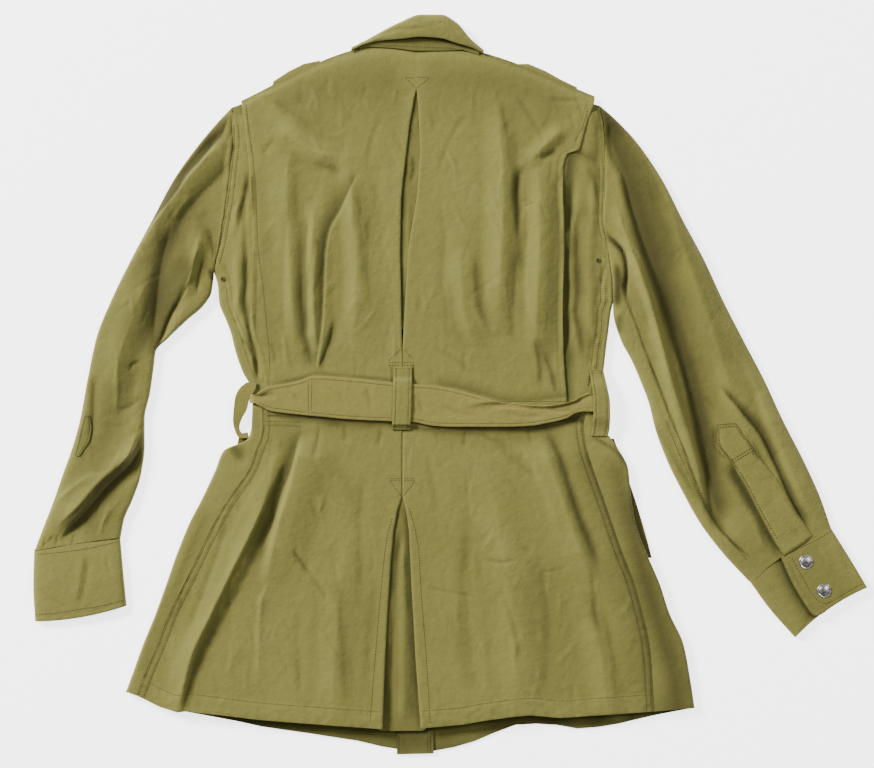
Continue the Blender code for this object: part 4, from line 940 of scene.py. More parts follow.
PAINTED_SHADING_SKIRT_RIGHT = [
    (-0.5, 40, 60, [(140, -60), (170, -130), (200, -230), (222, -310), (236, -370)]),
    (-0.4, 12, 8, [(102, -46), (119, -76), (132, -119), (141, -144), (152, -168), (164, -202)]),
    (-0.9, 8, 5, [(-56, -44), (-17, -47), (33, -48), (86, -47), (110, -43), (126, -39), (150, -32)]),
    (-0.35, 24, 8, [(-30, -50), (60, -52), (130, -44)]),
    (-1.5, 6, 12, [(108, -37), (122, -37), (136, -37), (150, -42), (166, -48)]),
    (0.2, 20, 20, [(20, -120), (50, -160), (90, -220)]), (-0.2, 14, 14, [(16, -150), (12, -250), (20, -340)]),
    (-0.22, 50, 50, [(90, -180), (110, -280), (120, -350)]),
    (-0.3, 12, 16, [(150, -220), (164, -280), (170, -340)]),
]


def lap_over(points, push, reach, path):
    """Lean a fold's crest sideways, so that its edge hangs over the hollow next to it."""
    path = eased_path(path, 8.0)
    run, way = walked(path), np.diff(path, axis=0)
    away, _, stretch, share = nearest(path, points[:, :, 0], points[:, :, 1])
    share = (run[stretch] + share * np.diff(run)[stretch]) / run[-1]
    ends = np.clip(np.minimum(share, 1 - share) * 4, 0, 1)
    size = push * bell(away, reach) * ends * ends * (3 - 2 * ends)
    aside = np.stack([way[:, 1], -way[:, 0]], axis=1) / np.linalg.norm(way, axis=1)[:, None]
    points[:, :, :2] += size[:, :, None] * aside[stretch]
    return points


def skirt_half(word, side, seam, middle, last_y, hem, worn_from, worn_to, large_folds, creases, painted_shading):
    """One half of the skirt, from the pleat's edge in the middle to the side seam."""
    seam = np.array([row for row in seam if row[1] <= WAIST_Y + 1], float)
    seam[0, 1] = WAIST_Y - SEAM / 2
    seam[:, 0] += side * 0.1
    spread = (seam[:, 1] - seam[0, 1]) / (seam[-1, 1] - seam[0, 1])
    centre_y = seam[0, 1] + spread * (last_y - seam[0, 1])
    rows = np.stack([read_at(PLEAT, centre_y, middle), centre_y, seam[:, 0], seam[:, 1]], axis=1)
    rows = eased_rows(rows, 1.8)
    rows[:, 0] = read_at(PLEAT, rows[:, 1], middle)
    rows[:, 0] += side * 0.15
    shares = edged(230, 2.0)[None, :]
    x, y = between(rows, shares)
    y = follow_hem(x, y, hem, 24)
    z = OVER_TOP + folds(x, y, large_folds) * belt_fade(y) * np.clip((1 - shares) * 8, 0, 1)
    creased = relief(x, y, creases) + relief(x, y, small_creases(9 + side, 75, worn_from, worn_to))
    seam_inset, middle_inset = (1 - shares) * breadth(rows), shares * breadth(rows)
    creased = np.minimum(creased, creased * belt_fade(y) + 0.2) + worn_cloth(x, y, 31.0 + side, 0.8)
    z += creased * ramp(seam_inset, 0, 9)
    z += sewn_edge(seam_inset, x, y, 34.0 + side, (2.0, 8.0), 0.45)
    pleated = ramp(y, -118, -134)
    z += pleated * (0.7 * bell(middle_inset, 10) - 0.9 * np.exp(-middle_inset / 0.8))
    z -= (1 - pleated) * 0.9 * np.exp(-middle_inset / 0.7) * ramp(y, -44, -52)
    steps = np.linalg.norm(np.diff(np.stack([x, y], axis=2), axis=0), axis=2)
    from_hem = np.vstack([steps[::-1].cumsum(axis=0)[::-1], np.zeros((1, x.shape[1]))])
    z += 4.0 * bell(from_hem, 60) * ramp(seam_inset, 0, 45) ** 1.5
    turned_up = 0.45 * ramp(from_hem, HEM_DEPTH + 0.5, HEM_DEPTH - 1)
    z += turned_up + sewn_edge(from_hem, x, y, 38.0 + side, (HEM_STITCH,), 0.55)
    points = np.stack([x, y, lying(z, 4.8)], axis=2)
    if side < 0:
        points = lap_over(points, 3.6, 9.0, [(-152, -44), (-163, -92), (-182, -157), (-198, -205)])
    # Tone: the table's painted shade and light, and painted shade along the side seam's edge and its two rows
    # of stitching
    tone = relief(x, y, painted_shading) - 0.7 * np.exp(-seam_inset / 1.1) - 0.16 * bell(seam_inset - 5, 5)
    tone -= 0.24 * bell(seam_inset - 8, 1.0) + 0.2 * bell(seam_inset - 2.4, 1.0)
    return cloth(f"skirt_back_{word}", points, jacket_paint, flip=side > 0, tone=tone)


skirt_left = skirt_half("left", -1, SEAM_LEFT, 1, -371, HEM_BACK_LEFT, (-320, -330), (-70, -40),
                        FOLDS_SKIRT_LEFT, CREASES_SKIRT_LEFT, PAINTED_SHADING_SKIRT_LEFT)
skirt_right = skirt_half("right", 1, SEAM_RIGHT, 2, -370, HEM_BACK_RIGHT, (-40, -330), (215, -40),
                         FOLDS_SKIRT_RIGHT, CREASES_SKIRT_RIGHT, PAINTED_SHADING_SKIRT_RIGHT)

# Sleeves: each one tube of twill, lying flattened with a crease down its outer edge. Long drag
# folds run from the shoulder to the cuff.
# Columns: outer x and y, inner x and y, height, share of the armhole's curve, bow
SLEEVE_LEFT = [
    (-236, 300, -255, 132, UNDER_TOP, 1.0, 0), (-252, 283, -255.5, 119, 7.5, 0.6, 0),
    (-276, 254, -257.5, 101, 9, 0.3, 0), (-299, 221, -266, 86, 10, 0.1, 0),
    (-322, 178, -284, 70, 10, 0, 0), (-345, 135, -304, 51, 9, 0, 0),
    (-366, 92, -318, 36, 9, 0, 0), (-382, 52, -320, 20, 9, 0, 0), (-392, 5, -324, -8, 9, 0, 0),
    (-400, -38, -330, -38, 9, 0, 0), (-409, -70, -330, -66, 9, 0, 0),
    (-418, -95, -334, -97, 9, 0, 0), (-428, -124, -343, -124, 9, 0, 0),
    (-440, -155, -352, -145, 8.5, 0, 0), (-449, -179, -356, -165, 8, 0, 1),
]
SLEEVE_RIGHT = [
    (163, 302, 171.5, 157, UNDER_TOP, 1.0, 0), (180, 287, 173.0, 138, 7.5, 0.6, 0),
    (204, 261, 176.5, 110, 9, 0.3, 0), (231, 221, 177.5, 78, 10, 0.1, 0),
    (253, 178, 185, 50, 10, 0, 0), (276, 135, 197, 27, 9, 0, 0), (296, 92, 207, 4, 9, 0, 0),
    (318, 49, 216, -20, 9, 0, 0), (341, 5, 223, -48, 9, 0, 0), (361, -38, 237, -85, 9, 0, 0),
    (383, -81, 253, -117, 9, 0, 0), (400, -118, 271, -149, 9, 0, 0),
    (408, -140, 296, -182, 8.5, 0, 1), (413, -155, 325, -213, 8, 0, 4),
]
FOLDS_SLEEVE_LEFT = [
    (6, 10, 30, [(-243, 262), (-262, 246), (-279, 226), (-296, 205), (-318, 180), (-334, 152)]),
    (5, 26, 24, [(-318, 130), (-340, 80), (-358, 20), (-364, -30)]),
    (4, 16, 14, [(-268, 170), (-276, 130), (-290, 92)]),
    (6, 32, 12, [(-337, -52), (-348, -74), (-364, -92), (-380, -108), (-398, -132), (-424, -158)]),
]
FOLDS_SLEEVE_RIGHT = [
    (5, 16, 12, [(190, 166), (200, 136), (215, 88), (228, 40), (242, -20), (262, -84)]),
    (7, 22, 32, [(238, 190), (262, 120), (286, 52), (306, -12), (330, -70)]),
    (4, 12, 18, [(338, -16), (355, -59), (373, -103), (388, -132)]),
]
CREASES_SLEEVE_LEFT = [
    (-3.2, 14, 3, [(-239, 275), (-246, 272), (-259, 256), (-269, 243), (-284, 227), (-293, 211), (-304, 197),
        (-318, 180), (-328, 166)]),
    (-2.0, 14, 14, [(-237, 241), (-253, 221), (-269, 205), (-286, 184), (-300, 157)]),
    (-4.4, 18, 20, [(-300, 175), (-313, 119), (-317, 86), (-321, 40)]),
    (-3.6, 6, 10, [(-272, 125), (-288, 96), (-302, 72), (-309, 54), (-318, 34)]),
    (3.0, 9, 9, [(-268, 160), (-274, 140), (-279, 118), (-284, 100), (-298, 82)]),
    (-1.6, 4, 4, [(-265, 137), (-271, 113), (-272, 96)]), (-1.2, 4, 4, [(-345, 13), (-342, 22), (-333, 25)]),
    (-1.8, 8, 9, [(-384, 14), (-384, -16), (-386, -65)]), (1.2, 6, 6, [(-359, 43), (-358, 5), (-360, -38)]),
    (-4.5, 3, 22, [(-331, -62), (-345, -86), (-365, -104), (-384, -125), (-404, -148), (-421, -170)]),
    (3.0, 16, 5, [(-334, -46), (-346, -72), (-366, -90), (-385, -109), (-404, -132), (-424, -152)]),
    (1.5, 7, 7, [(-367, -90), (-388, -98), (-410, -113), (-428, -131)]),
    (1.0, 5, 6, [(-364, -124), (-373, -146), (-380, -167)]), (-0.9, 3, 3, [(-436, -163), (-438, -177)]),
    (-0.9, 3, 3, [(-423, -161), (-425, -176)]), (-0.8, 3, 3, [(-404, -159), (-408, -175)]),
    (-1.0, 7, 7, [(-264, 173), (-256, 157), (-254, 133)]),
    (-0.8, 6, 6, [(-231, 286), (-241, 254), (-246, 216)]),
    (-0.9, 5, 6, [(-330, -10), (-345, -24), (-362, -28)]),
]
# Lines that carry both a crease and the painted shade along it
INNER_SEAM_RIGHT = [
    (189, 96), (196, 79), (203, 62), (209, 44), (215, 29), (224, 5), (238, -32), (249, -59), (267, -108),
    (281, -138), (303, -167), (330, -190),
]
LOWER_FOLD_RIGHT = [
    (290, 2), (303, -14), (320, -34), (335, -52), (350, -82), (360, -104), (368, -122), (375, -136),
    (392, -158),
]
CREASES_SLEEVE_RIGHT = [
    (-6.5, 11, 26, [(172, 290), (176, 258), (188, 227), (197, 191), (211, 148), (222, 119), (232, 89),
        (242, 57), (254, 18), (263, -18), (272, -55), (277, -83), (282, -128), (300, -170)]),
    (3.2, 14, 10, [(178, 200), (186, 173), (204, 124), (219, 81), (236, 16), (249, -27), (262, -70),
        (274, -113)]),
    (-1.2, 5, 5, [(276, -11), (288, -29)]),
    (-4.5, 7, 2, [(172, 162), (180, 154), (187, 146), (191, 134), (192, 120), (191, 104), (191, 88)]),
    (-1.4, 3, 1.5, INNER_SEAM_RIGHT),
    (-4.4, 3.5, 14, LOWER_FOLD_RIGHT),
    (-3.2, 12, 3, [(302, -84), (317, -110), (333, -140), (350, -170), (360, -186)]),
    (1.4, 10, 10, [(316, 25), (335, -11), (344, -51)]), (-1.6, 5, 5, [(180, 170), (193, 152), (206, 133)]),
    (-1.3, 5, 5, [(201, 108), (210, 81), (219, 49)]), (-1.0, 8, 8, [(271, 146), (284, 103), (303, 59)]),
    (-0.9, 4, 4, [(346, -180), (340, -167), (333, -154)]), (-0.9, 4, 4, [(379, -167), (370, -154)]),
    (-1.0, 10, 10, [(206, 254), (232, 200), (260, 157)]), (-0.9, 6, 6, [(236, -38), (249, -70), (264, -103)]),
    (-1.0, 5, 5, [(183, 120), (192, 98), (200, 70)]),
]
# Painted shade and painted light on the sleeves: dark in the deep folds, the armpit hollows, the outer strip
# and along the inner seam, paler along some ridges
PAINTED_SHADING_SLEEVE_LEFT = [
    (-1.5, 22, 2.5, [(-236, 300), (-246, 272), (-259, 256), (-269, 243), (-284, 226), (-293, 211),
        (-304, 197), (-318, 181), (-332, 156)]),
    (-0.6, 8, 6, [(-236, 300), (-234, 260), (-236, 220)]),
    (-0.5, 12, 14, [(-262, 215), (-282, 190), (-300, 160), (-316, 130), (-322, 95)]),
    (-1.2, 40, 3, [(-270, 146), (-284, 112), (-292, 94), (-301, 76), (-309, 57), (-321, 26)]),
    (-0.6, 26, 22, [(-290, 180), (-310, 125), (-322, 60)]),
    (-0.5, 5, 5, [(-264, 148), (-270, 118), (-276, 96)]),
    (-0.35, 26, 24, [(-262, 196), (-275, 157), (-286, 122)]),
    (-0.42, 60, 60, [(-250, 290), (-300, 200), (-340, 100), (-360, 0), (-380, -90), (-410, -170)]),
    (-0.9, 2, 24, [(-330, -40), (-336, -62), (-350, -79), (-367, -93), (-380, -104), (-394, -121),
        (-408, -137), (-428, -160)]),
    (0.15, 10, 12, [(-250, 235), (-272, 200), (-296, 165)]),
    (0.2, 16, 16, [(-340, 120), (-362, 60), (-370, 0)]),
    (0.3, 10, 10, [(-336, 20), (-340, -20), (-352, -60)]),
    (-0.3, 10, 10, [(-384, 20), (-388, -40), (-392, -80)]),
    (-2.0, 5, 6, [(-262, 128), (-256, 118), (-254, 108), (-258, 97), (-264, 88)]),
    (-1.1, 2, 3, [(-407, -68), (-419, -86), (-427, -104), (-428, -126)]),
    (-0.3, 24, 24, [(-344, -70), (-372, -130), (-400, -165)]),
    (-0.4, 8, 10, [(-268, 172), (-258, 156), (-254, 136)]),
]
PAINTED_SHADING_SLEEVE_RIGHT = [
    (-1.25, 9, 32, [(150, 320), (176, 268), (200, 206), (218, 150), (233, 95), (247, 45), (261, -5),
        (272, -54), (282, -103), (296, -150)]),
    (-1.2, 10, 18, [(186, 232), (200, 180), (219, 122), (241, 57), (253, 21), (263, -20), (272, -60),
        (282, -104)]),
    (-0.16, 30, 30, [(262, 120), (292, 20), (318, -30), (350, -80)]),
    (-0.55, 34, 40, [(150, 320), (180, 280), (206, 232), (228, 180), (246, 120)]),
    (-2.4, 7, 2, [(168, 172), (172, 162), (180, 154), (187, 146), (191, 134), (192, 120), (191, 104),
        (190, 84)]),
    (-2.2, 9, 8, [(178, 136), (182, 116), (181, 96), (180, 80)]),
    (-0.8, 12, 9, [(184, 80), (183, 66), (185, 52)]),
    (-0.9, 3, 1.5, INNER_SEAM_RIGHT),
    (-0.35, 40, 26, [(240, 190), (268, 120), (290, 50), (300, 10)]),
    (0.35, 9, 8, [(182, 168), (200, 124), (216, 78), (232, 22), (246, -30), (258, -70)]),
    (-0.5, 10, 10, [(216, -30), (234, -66), (258, -106), (290, -150), (322, -188)]),
    (-1.0, 2.5, 11, LOWER_FOLD_RIGHT),
    (-1.5, 15, 3, [(298, -76), (305, -87), (320, -112), (336, -142), (352, -170), (364, -190)]),
    (-0.9, 3, 3, [(285, -40), (285, -62), (302, -84)]),
    (-0.7, 3, 4, [(310, -39), (329, -67), (344, -95), (359, -128)]),
    (0.25, 14, 14, [(310, 40), (334, -10), (348, -54)]),
    (-0.4, 14, 14, [(322, -78), (340, -115), (362, -150)]),
]
left_sleeve_paint = cotton("sleeve_twill_left", OLIVE, -12)
right_sleeve_paint = cotton("sleeve_twill_right", OLIVE, 28)


def flat_tube(rows, over, under, armhole=None, push=0.0):
    """Sections of a flattened tube: over the top from its outer to its inner edge, and back under.
    Columns of rows: outer x and y, inner x and y, height, share of the armhole's curve, bow."""
    cross = []
    for shares, upper in ((over, True), (under[::-1][1:], False)):
        for share in shares:
            across = abs(2 * share - 1)
            if upper:
                cross.append((share, 0.40 + 0.60 * (1 - across**9) ** 0.42, 1.0))
            else:
                cross.append((share, 0.40 * (1 - (1 - across**12) ** 0.5), 0.0))
    shares = np.array([share for share, _, _ in cross])
    level = np.array([height for _, height, _ in cross])
    crown = np.array([on_top for _, _, on_top in cross])
    start, end = rows[:, None, 0:2], rows[:, None, 2:4]
    line = start + shares[None, :, None] * (end - start)
    if armhole is not None:
        run = walked(armhole)
        curve = np.stack([ease(shares * run[-1], run, column) for column in armhole.T], axis=1)
        chord = armhole[0] + shares[:, None] * (armhole[-1] - armhole[0])
        line = line + rows[:, 5][:, None, None] * (curve - chord)[None]
        line[:, :, 0] += push
    across = (end - start)[:, 0]
    normal = np.stack([-across[:, 1], across[:, 0]], axis=1) / np.linalg.norm(across, axis=1)[:, None]
    normal *= -np.sign(normal[:, 1:2])
    line = line - (4 * shares * (1 - shares) * rows[:, 6:7])[:, :, None] * normal[:, None, :]
    return line, level[None, :] * rows[:, 4:5], crown


def crowded(count, share):
    """Shares of a section, drawn towards its two edges by a share of a cosine's spacing."""
    even = np.linspace(0, 1, count)
    return share * (0.5 - 0.5 * np.cos(np.pi * even)) + (1 - share) * even


def sleeve(word, side, table, armhole, paint, worn_from, worn_to, lean, large_folds, creases, painted_shading):
    """One sleeve, from the armhole to the cuff's seam."""
    rows = eased_rows(table, 1.8)
    over, under = crowded(78, 0.35), crowded(14, 1)
    line, z, crown = flat_tube(rows, over, under, np.array(armhole, float), -side * 0.5)
    x, y = line[:, :, 0], line[:, :, 1]
    top_share = np.concatenate([over, under[::-1][1:]])
    rim = ramp(np.minimum(top_share, 1 - top_share), 0, 0.05)[None, :] * crown[None, :]
    calm = 1 - np.clip(rows[:, 5:6] - 0.6, 0, 1)
    creased = relief(x, y, creases)
    creased += relief(x, y, small_creases(15 + side, 45, worn_from, worn_to, lean))
    z = z + (folds(x, y, large_folds) * calm + creased + worn_cloth(x, y, 41.0 + side, 0.9)) * rim
    run = walked(rows[:, :2])[:, None]
    z += crown * sewn_edge(run + 0 * x, x, y, 44.0 + side, (1.6,), 0.7, 0.9)
    z += crown * 0.5 * bell(run - 6, 7)
    if side > 0:
        past_tab = ramp(top_share[None, :], 0.52, 0.62)
        z -= 2.3 * crown * bell(run.max() - run, 12) * past_tab
    z = np.where(crown > 0, lying(z, 2.2), z)
    points = np.stack([x, y, z], axis=2)
    if side < 0:
        points = lap_over(points, -3.0, 8.0, [(-337, -52), (-348, -74), (-364, -92), (-380, -108),
                                              (-398, -132), (-420, -154)])
    # Tone: the painted shade and painted light of the sleeve's table
    return cloth(f"sleeve_{word}", points, paint, tube=True, flip=side < 0, tone=relief(x, y, painted_shading))


sleeve_left = sleeve("left", -1, SLEEVE_LEFT, ARMHOLE_LEFT, left_sleeve_paint, (-430, -160),
                     (-240, 280), 62, FOLDS_SLEEVE_LEFT, CREASES_SLEEVE_LEFT, PAINTED_SHADING_SLEEVE_LEFT)
sleeve_right = sleeve("right", 1, SLEEVE_RIGHT, ARMHOLE_RIGHT, right_sleeve_paint, (170, -180),
                      (390, 280), 115, FOLDS_SLEEVE_RIGHT, CREASES_SLEEVE_RIGHT, PAINTED_SHADING_SLEEVE_RIGHT)

# Facing strips of the sleeve openings: a doubled strip with a pointed head, stitched to the
# sleeve above the cuff. On the left sleeve only the strip's edge shows.
# Columns: x and y of both edges
PLACKET_LEFT = [
    (-393, -33, -388, -33), (-397, -45, -385, -46), (-400, -60, -388, -61), (-404, -76, -399, -77),
]
PLACKET_RIGHT = [
    (289, -42.5, 308, -41), (287.5, -52, 317, -54), (287.5, -61.5, 326, -66), (304, -84, 331, -75),
    (319, -108, 350, -97), (335, -140, 366, -122), (350, -168, 379, -144), (361, -184.5, 393, -164),
]


def surface_of(piece):
    """Search tree of a finished piece, its wall included."""
    shown = piece.evaluated_get(bpy.context.evaluated_depsgraph_get())
    tree_mesh = bmesh.new()
    tree_mesh.from_mesh(shown.to_mesh())
    tree = BVHTree.FromBMesh(tree_mesh)
    tree_mesh.free()
    shown.to_mesh_clear()
    return tree


def top_at(tree, x, y, miss=0.0):
    """Height of a surface's upper side at x, y, in mm."""
    hit = tree.ray_cast(Vector((x * MM, y * MM, 0.1)), Vector((0, 0, -1)))[0]
    return hit.z / MM if hit else miss


plackets = {}
for word, carrier, table, width in (
    ("left", sleeve_left, PLACKET_LEFT, 12), ("right", sleeve_right, PLACKET_RIGHT, 26),
):
    rows = straight_rows(table, 1.4)
    shares = np.linspace(0, 1, 22)[None, :]
    x, y = between(rows, shares)
    tree = surface_of(carrier)
    z = np.array([top_at(tree, a, b, 9.0) for a, b in zip(x.ravel(), y.ravel())]).reshape(x.shape)
    inset = np.minimum(shares, 1 - shares) * width + 0 * x
    proud = 1.2 if word == "left" else np.interp(y, [-170, -90, -60], [2.0, 1.8, 1.3])
    proud = sewn_edge(inset, x, y, 51.0, (2.4,), 0.3, 0.5) + proud
    if word == "right":
        proud -= ramp(rows[:, 1:2], -76, -90) * 0.8 * shares**2
        to_cuff = np.linalg.norm(rows[:, :2] - rows[-1, :2], axis=1)[:, None]
        proud -= 1.6 * ramp(to_cuff, 2, 0)
    z = blurred(z, 1) + proud
    # A dark line along each strip's edge, strongest at the right one's head, is painted shade; the left strip
    # is also painted a little darker all over
    outline = np.minimum(inset, np.linalg.norm(rows[:, :2] - rows[0, :2], axis=1)[:, None])
    at_head = ramp(rows[:, 1:2], -92, -84) * 0.7 + 0.3
    plackets[word] = cloth(f"sleeve_placket_{word}", np.stack([x, y, z], axis=2), right_sleeve_paint,
                           wall=1.1, flip=True,
                           tone=-1.3 * at_head * np.exp(-outline / 0.9) - 0.3 * (word == "left"))

# Cuffs: doubled bands with topstitched edges. The left one lies on its lap; the right one shows
# its tab, lapped over the other end.
# Columns as for the sleeves; the right cuff's last two are its bow and how far across its tab laps
CUFF_LEFT = [
    (-449, -178.2, -356, -164.2, 7.5, 0, 1), (-450, -216, -352.5, -203, 9, 0, -1),
    (-448, -256, -349, -239, 8, 0, -4),
]
CUFF_RIGHT = [
    (412.0, -153.9, 324.0, -211.7, 8.2, 4, 0.60), (432, -186, 346, -242, 8.6, 5, 0.66),
    (451.5, -218.5, 373.5, -273, 8.2, 5, 0.70),
]
CREASES_CUFF_LEFT = [
    (-1.4, 4, 6, [(-391, -180), (-392, -200), (-396, -222), (-401, -243)]),
    (1.0, 5, 5, [(-398, -182), (-400, -210), (-407, -240)]),
    (-0.7, 4, 4, [(-446, -219), (-430, -230), (-412, -241)]), (-0.7, 4, 4, [(-372, -185), (-366, -205)]),
    (0.6, 5, 5, [(-430, -190), (-426, -215)]),
]
CREASES_CUFF_RIGHT = [
    (-0.9, 5, 5, [(420, -170), (428, -190), (438, -206)]), (-0.7, 5, 5, [(345, -215), (360, -240)]),
    (0.8, 6, 6, [(398, -172), (412, -196)]), (-0.6, 4, 4, [(380, -258), (394, -248)]),
]


def cuff_left_piece():
    """The left cuff: a flattened tube like the sleeve, lying on its lap."""
    rows = eased_rows(CUFF_LEFT, 1.7)
    rows[:, 1] += 0.5
    rows[:, 3] += 0.5
    over, under = crowded(46, 0.5), crowded(12, 1)
    line, z, crown = flat_tube(rows, over, under)
    x, y = line[:, :, 0], line[:, :, 1]
    share = np.concatenate([over, under[::-1][1:]])
    rim = ramp(np.minimum(share, 1 - share), 0, 0.06)[None, :] * crown[None, :]
    run = np.linalg.norm(rows[:, :2] - rows[0, :2], axis=1)[:, None] + 0 * x
    z = z + (relief(x, y, CREASES_CUFF_LEFT) + worn_cloth(x, y, 71.0, 0.5)) * rim
    z += crown * (sewn_edge(run, x, y, 73.0, (1.8,), 0.5)
                  + sewn_edge(run.max() - run, x, y, 75.0, (5.4,), 0.4))
    return cloth("cuff_left", np.stack([x, y, z], axis=2), left_sleeve_paint, wall=2.0, tube=True,
                 flip=True)


TAB_CORNER = 9   # radius of the tab's rounded corner
LAP_TOP = 5.6    # height of the end that the tab laps over
BEND = np.radians([30, 60, 90, 120, 150])


def cuff_right_piece():
    """The right cuff: from its covered end, down round the back and over to the edge of its tab."""
    rows = eased_rows(CUFF_RIGHT, 1.7)
    sections = []
    for outer_x, outer_y, inner_x, inner_y, top, bowed, tab in rows:
        start, end = np.array([outer_x, outer_y]), np.array([inner_x, inner_y])
        across = end - start
        length = np.hypot(*across)
        up = np.array([across[1], -across[0]]) / length
        turn = 3.0 / length
        from_end = np.hypot(outer_x - CUFF_RIGHT[-1][0], outer_y - CUFF_RIGHT[-1][1])
        rounded = max(0.0, 1 - from_end / TAB_CORNER)
        tab = tab - TAB_CORNER / length * (1 - np.sqrt(1 - rounded**2))
        path = [(share, LAP_TOP, 0) for share in np.linspace(0.34, 1 - turn, 26)]
        path += [(1 - turn * (1 - np.sin(a)), LAP_TOP / 2 * (1 + np.cos(a)), 0) for a in BEND]
        path += [(share, 0, 0) for share in np.linspace(1 - turn, turn, 10)]
        path += [(turn * (1 - np.sin(a)), top / 2 * (1 - np.cos(a)), 0.5) for a in BEND]
        over_shares = turn + (tab - turn) * (1 - (1 - np.linspace(0, 1, 34)) ** 1.25)
        path += [(share, top, 1) for share in over_shares]
        section = []
        for share, z, on_top in path:
            spot = start + share * across + up * 4 * share * (1 - share) * bowed
            section.append((*spot, z, on_top, (tab - share) * length))
        sections.append(section)
    x, y, z, on_top, tab_inset = np.moveaxis(np.array(sections), 2, 0)
    run = np.linalg.norm(rows[:, :2] - rows[0, :2], axis=1)[:, None] + 0 * x
    over = np.where(on_top == 1, 1.0, 0.0)
    upper = np.maximum(over, np.where(np.arange(x.shape[1])[None, :] < 24, 0.6, 0.0))
    z = z + upper * (relief(x, y, CREASES_CUFF_RIGHT) + worn_cloth(x, y, 77.0, 0.45))
    z += over * sewn_edge(tab_inset, x, y, 78.0, (6.5,), 0.3, 0.6)
    z += upper * (sewn_edge(run, x, y, 79.0, (1.8,), 0.4)
                  + sewn_edge(run.max() - run, x, y, 80.0, (5.4,), 0.35))
    z = np.where(upper > 0, z, np.maximum(z, 0))
    under = upper == 0.6
    tab_x, tab_y = x[:, -1:], y[:, -1:]
    to_tab = np.hypot(x - tab_x, y - tab_y)
    z = z - 1.2 * under * bell(to_tab, 12) + 0.8 * over * bell(tab_inset, 5)
    # Tone: a little darker all over; painted shade on the lapped end beside the tab, as the tab's shadow, and
    # a line of painted shade along the tab's edge
    return cloth("cuff_right", np.stack([x, y, z], axis=2), right_sleeve_paint, wall=2.0,
                 tone=-0.14 - 1.3 * under * np.exp(-to_tab / 4) - 0.7 * over * np.exp(-tab_inset / 0.9))


cuff_left = cuff_left_piece()
cuff_right = cuff_right_piece()

# Press studs on the right cuff's tab: domed nickel caps with a rolled rim, pressed through the
# cloth, dulled by wear.
nickel = bpy.data.materials.new("dull_nickel")
nickel.use_nodes = True
nickel_nodes, nickel_links = nickel.node_tree.nodes, nickel.node_tree.links
nickel_shader = nickel_nodes["Principled BSDF"]
nickel_shader.inputs["Metallic"].default_value = 1.0
nickel_shader.inputs["Roughness"].default_value = 0.34
tarnish = shader_node(nickel_nodes, "TexNoise", Scale=420.0, Detail=5.0)
nickel_where = nickel_nodes.new("ShaderNodeTexCoord")
nickel_links.new(nickel_where.outputs["Object"], tarnish.inputs["Vector"])
patina = nickel_nodes.new("ShaderNodeValToRGB")
for stop, place, grey in ((0, 0.36, (0.16, 0.145, 0.12, 1)), (1, 0.62, (0.46, 0.445, 0.42, 1))):
    patina.color_ramp.elements[stop].position = place
    patina.color_ramp.elements[stop].color = grey
nickel_links.new(tarnish.outputs["Fac"], patina.inputs["Fac"])
nickel_links.new(patina.outputs["Color"], nickel_shader.inputs["Base Color"])
dents = shader_node(nickel_nodes, "Bump", Strength=0.2, Distance=0.0003)
nickel_links.new(tarnish.outputs["Fac"], dents.inputs["Height"])
nickel_links.new(dents.outputs["Normal"], nickel_shader.inputs["Normal"])

# Radius and height above the cloth, from the rim up to the middle of the dome
STUD_PROFILE = [
    (7.8, -0.9), (7.9, 0.1), (7.7, 0.5), (7.2, 0.75), (6.6, 0.7), (6.2, 0.45), (5.9, 0.42),
    (5.5, 0.7), (4.6, 1.15), (3.2, 1.55), (1.6, 1.78), (0, 1.85),
]
cuff_tree = surface_of(cuff_right)
for node, x, y in (("cuff_snap_upper", 385, -191), ("cuff_snap_lower", 404.5, -222)):
    work = bmesh.new()
    base_z = top_at(cuff_tree, x, y, 8.6)
    ring = [work.verts.new((r * MM, 0, z * MM)) for r, z in STUD_PROFILE]
    edges = [work.edges.new(pair) for pair in zip(ring, ring[1:])]
    bmesh.ops.spin(work, geom=ring + edges, cent=(0, 0, 0), axis=(0, 0, 1), angle=2 * np.pi, steps=40,
                   use_merge=True, use_duplicate=False)
    bmesh.ops.remove_doubles(work, verts=work.verts, dist=1e-6)
    bmesh.ops.holes_fill(work, edges=[e for e in work.edges if e.is_boundary], sides=0)
    bmesh.ops.recalc_face_normals(work, faces=work.faces)
    bmesh.ops.translate(work, vec=(x * MM, y * MM, base_z * MM), verts=work.verts)
    stud = finished(node + "_cap", mesh_of(node + "_cap", work), nickel)
    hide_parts(node)

# Collar: a doubled leaf folded over at the neck, its front half carried on under the fronts, and
# the strip of its stand that shows between the leaf and the neck seam.
# Columns: x, y of the leaf's edge, of the fold and of the half under the fronts, height
COLLAR = [
    (-106, 360, 365, 348, 9.5), (-94, 366, 370.5, 325, 10.5), (-75, 371, 381, 306, 12),
    (-53, 373, 392, 300, 14), (-31, 375, 400, 304, 15), (-9, 373.5, 400, 300, 15),
    (7, 368.5, 392, 304, 14), (23, 364, 374, 325, 12), (37, 357, 362, 346, 9.5),
]
CREASES_COLLAR = [
    (-0.8, 4, 4, [(-78, 376), (-50, 384), (-20, 385)]), (0.7, 5, 5, [(-30, 392), (-8, 393), (4, 386)]),
    (-0.7, 4, 4, [(-92, 369), (-84, 374)]), (0.6, 4, 4, [(8, 380), (20, 371)]),
]
collar_table = np.array(COLLAR, float)
collar_at = np.linspace(-106, 37, 84)
leaf_y, fold_y, front_y, collar_top = (
    ease(collar_at, collar_table[:, 0], collar_table[:, column]) for column in (1, 2, 3, 4))
LEAF_COLUMNS = 22
sections = []
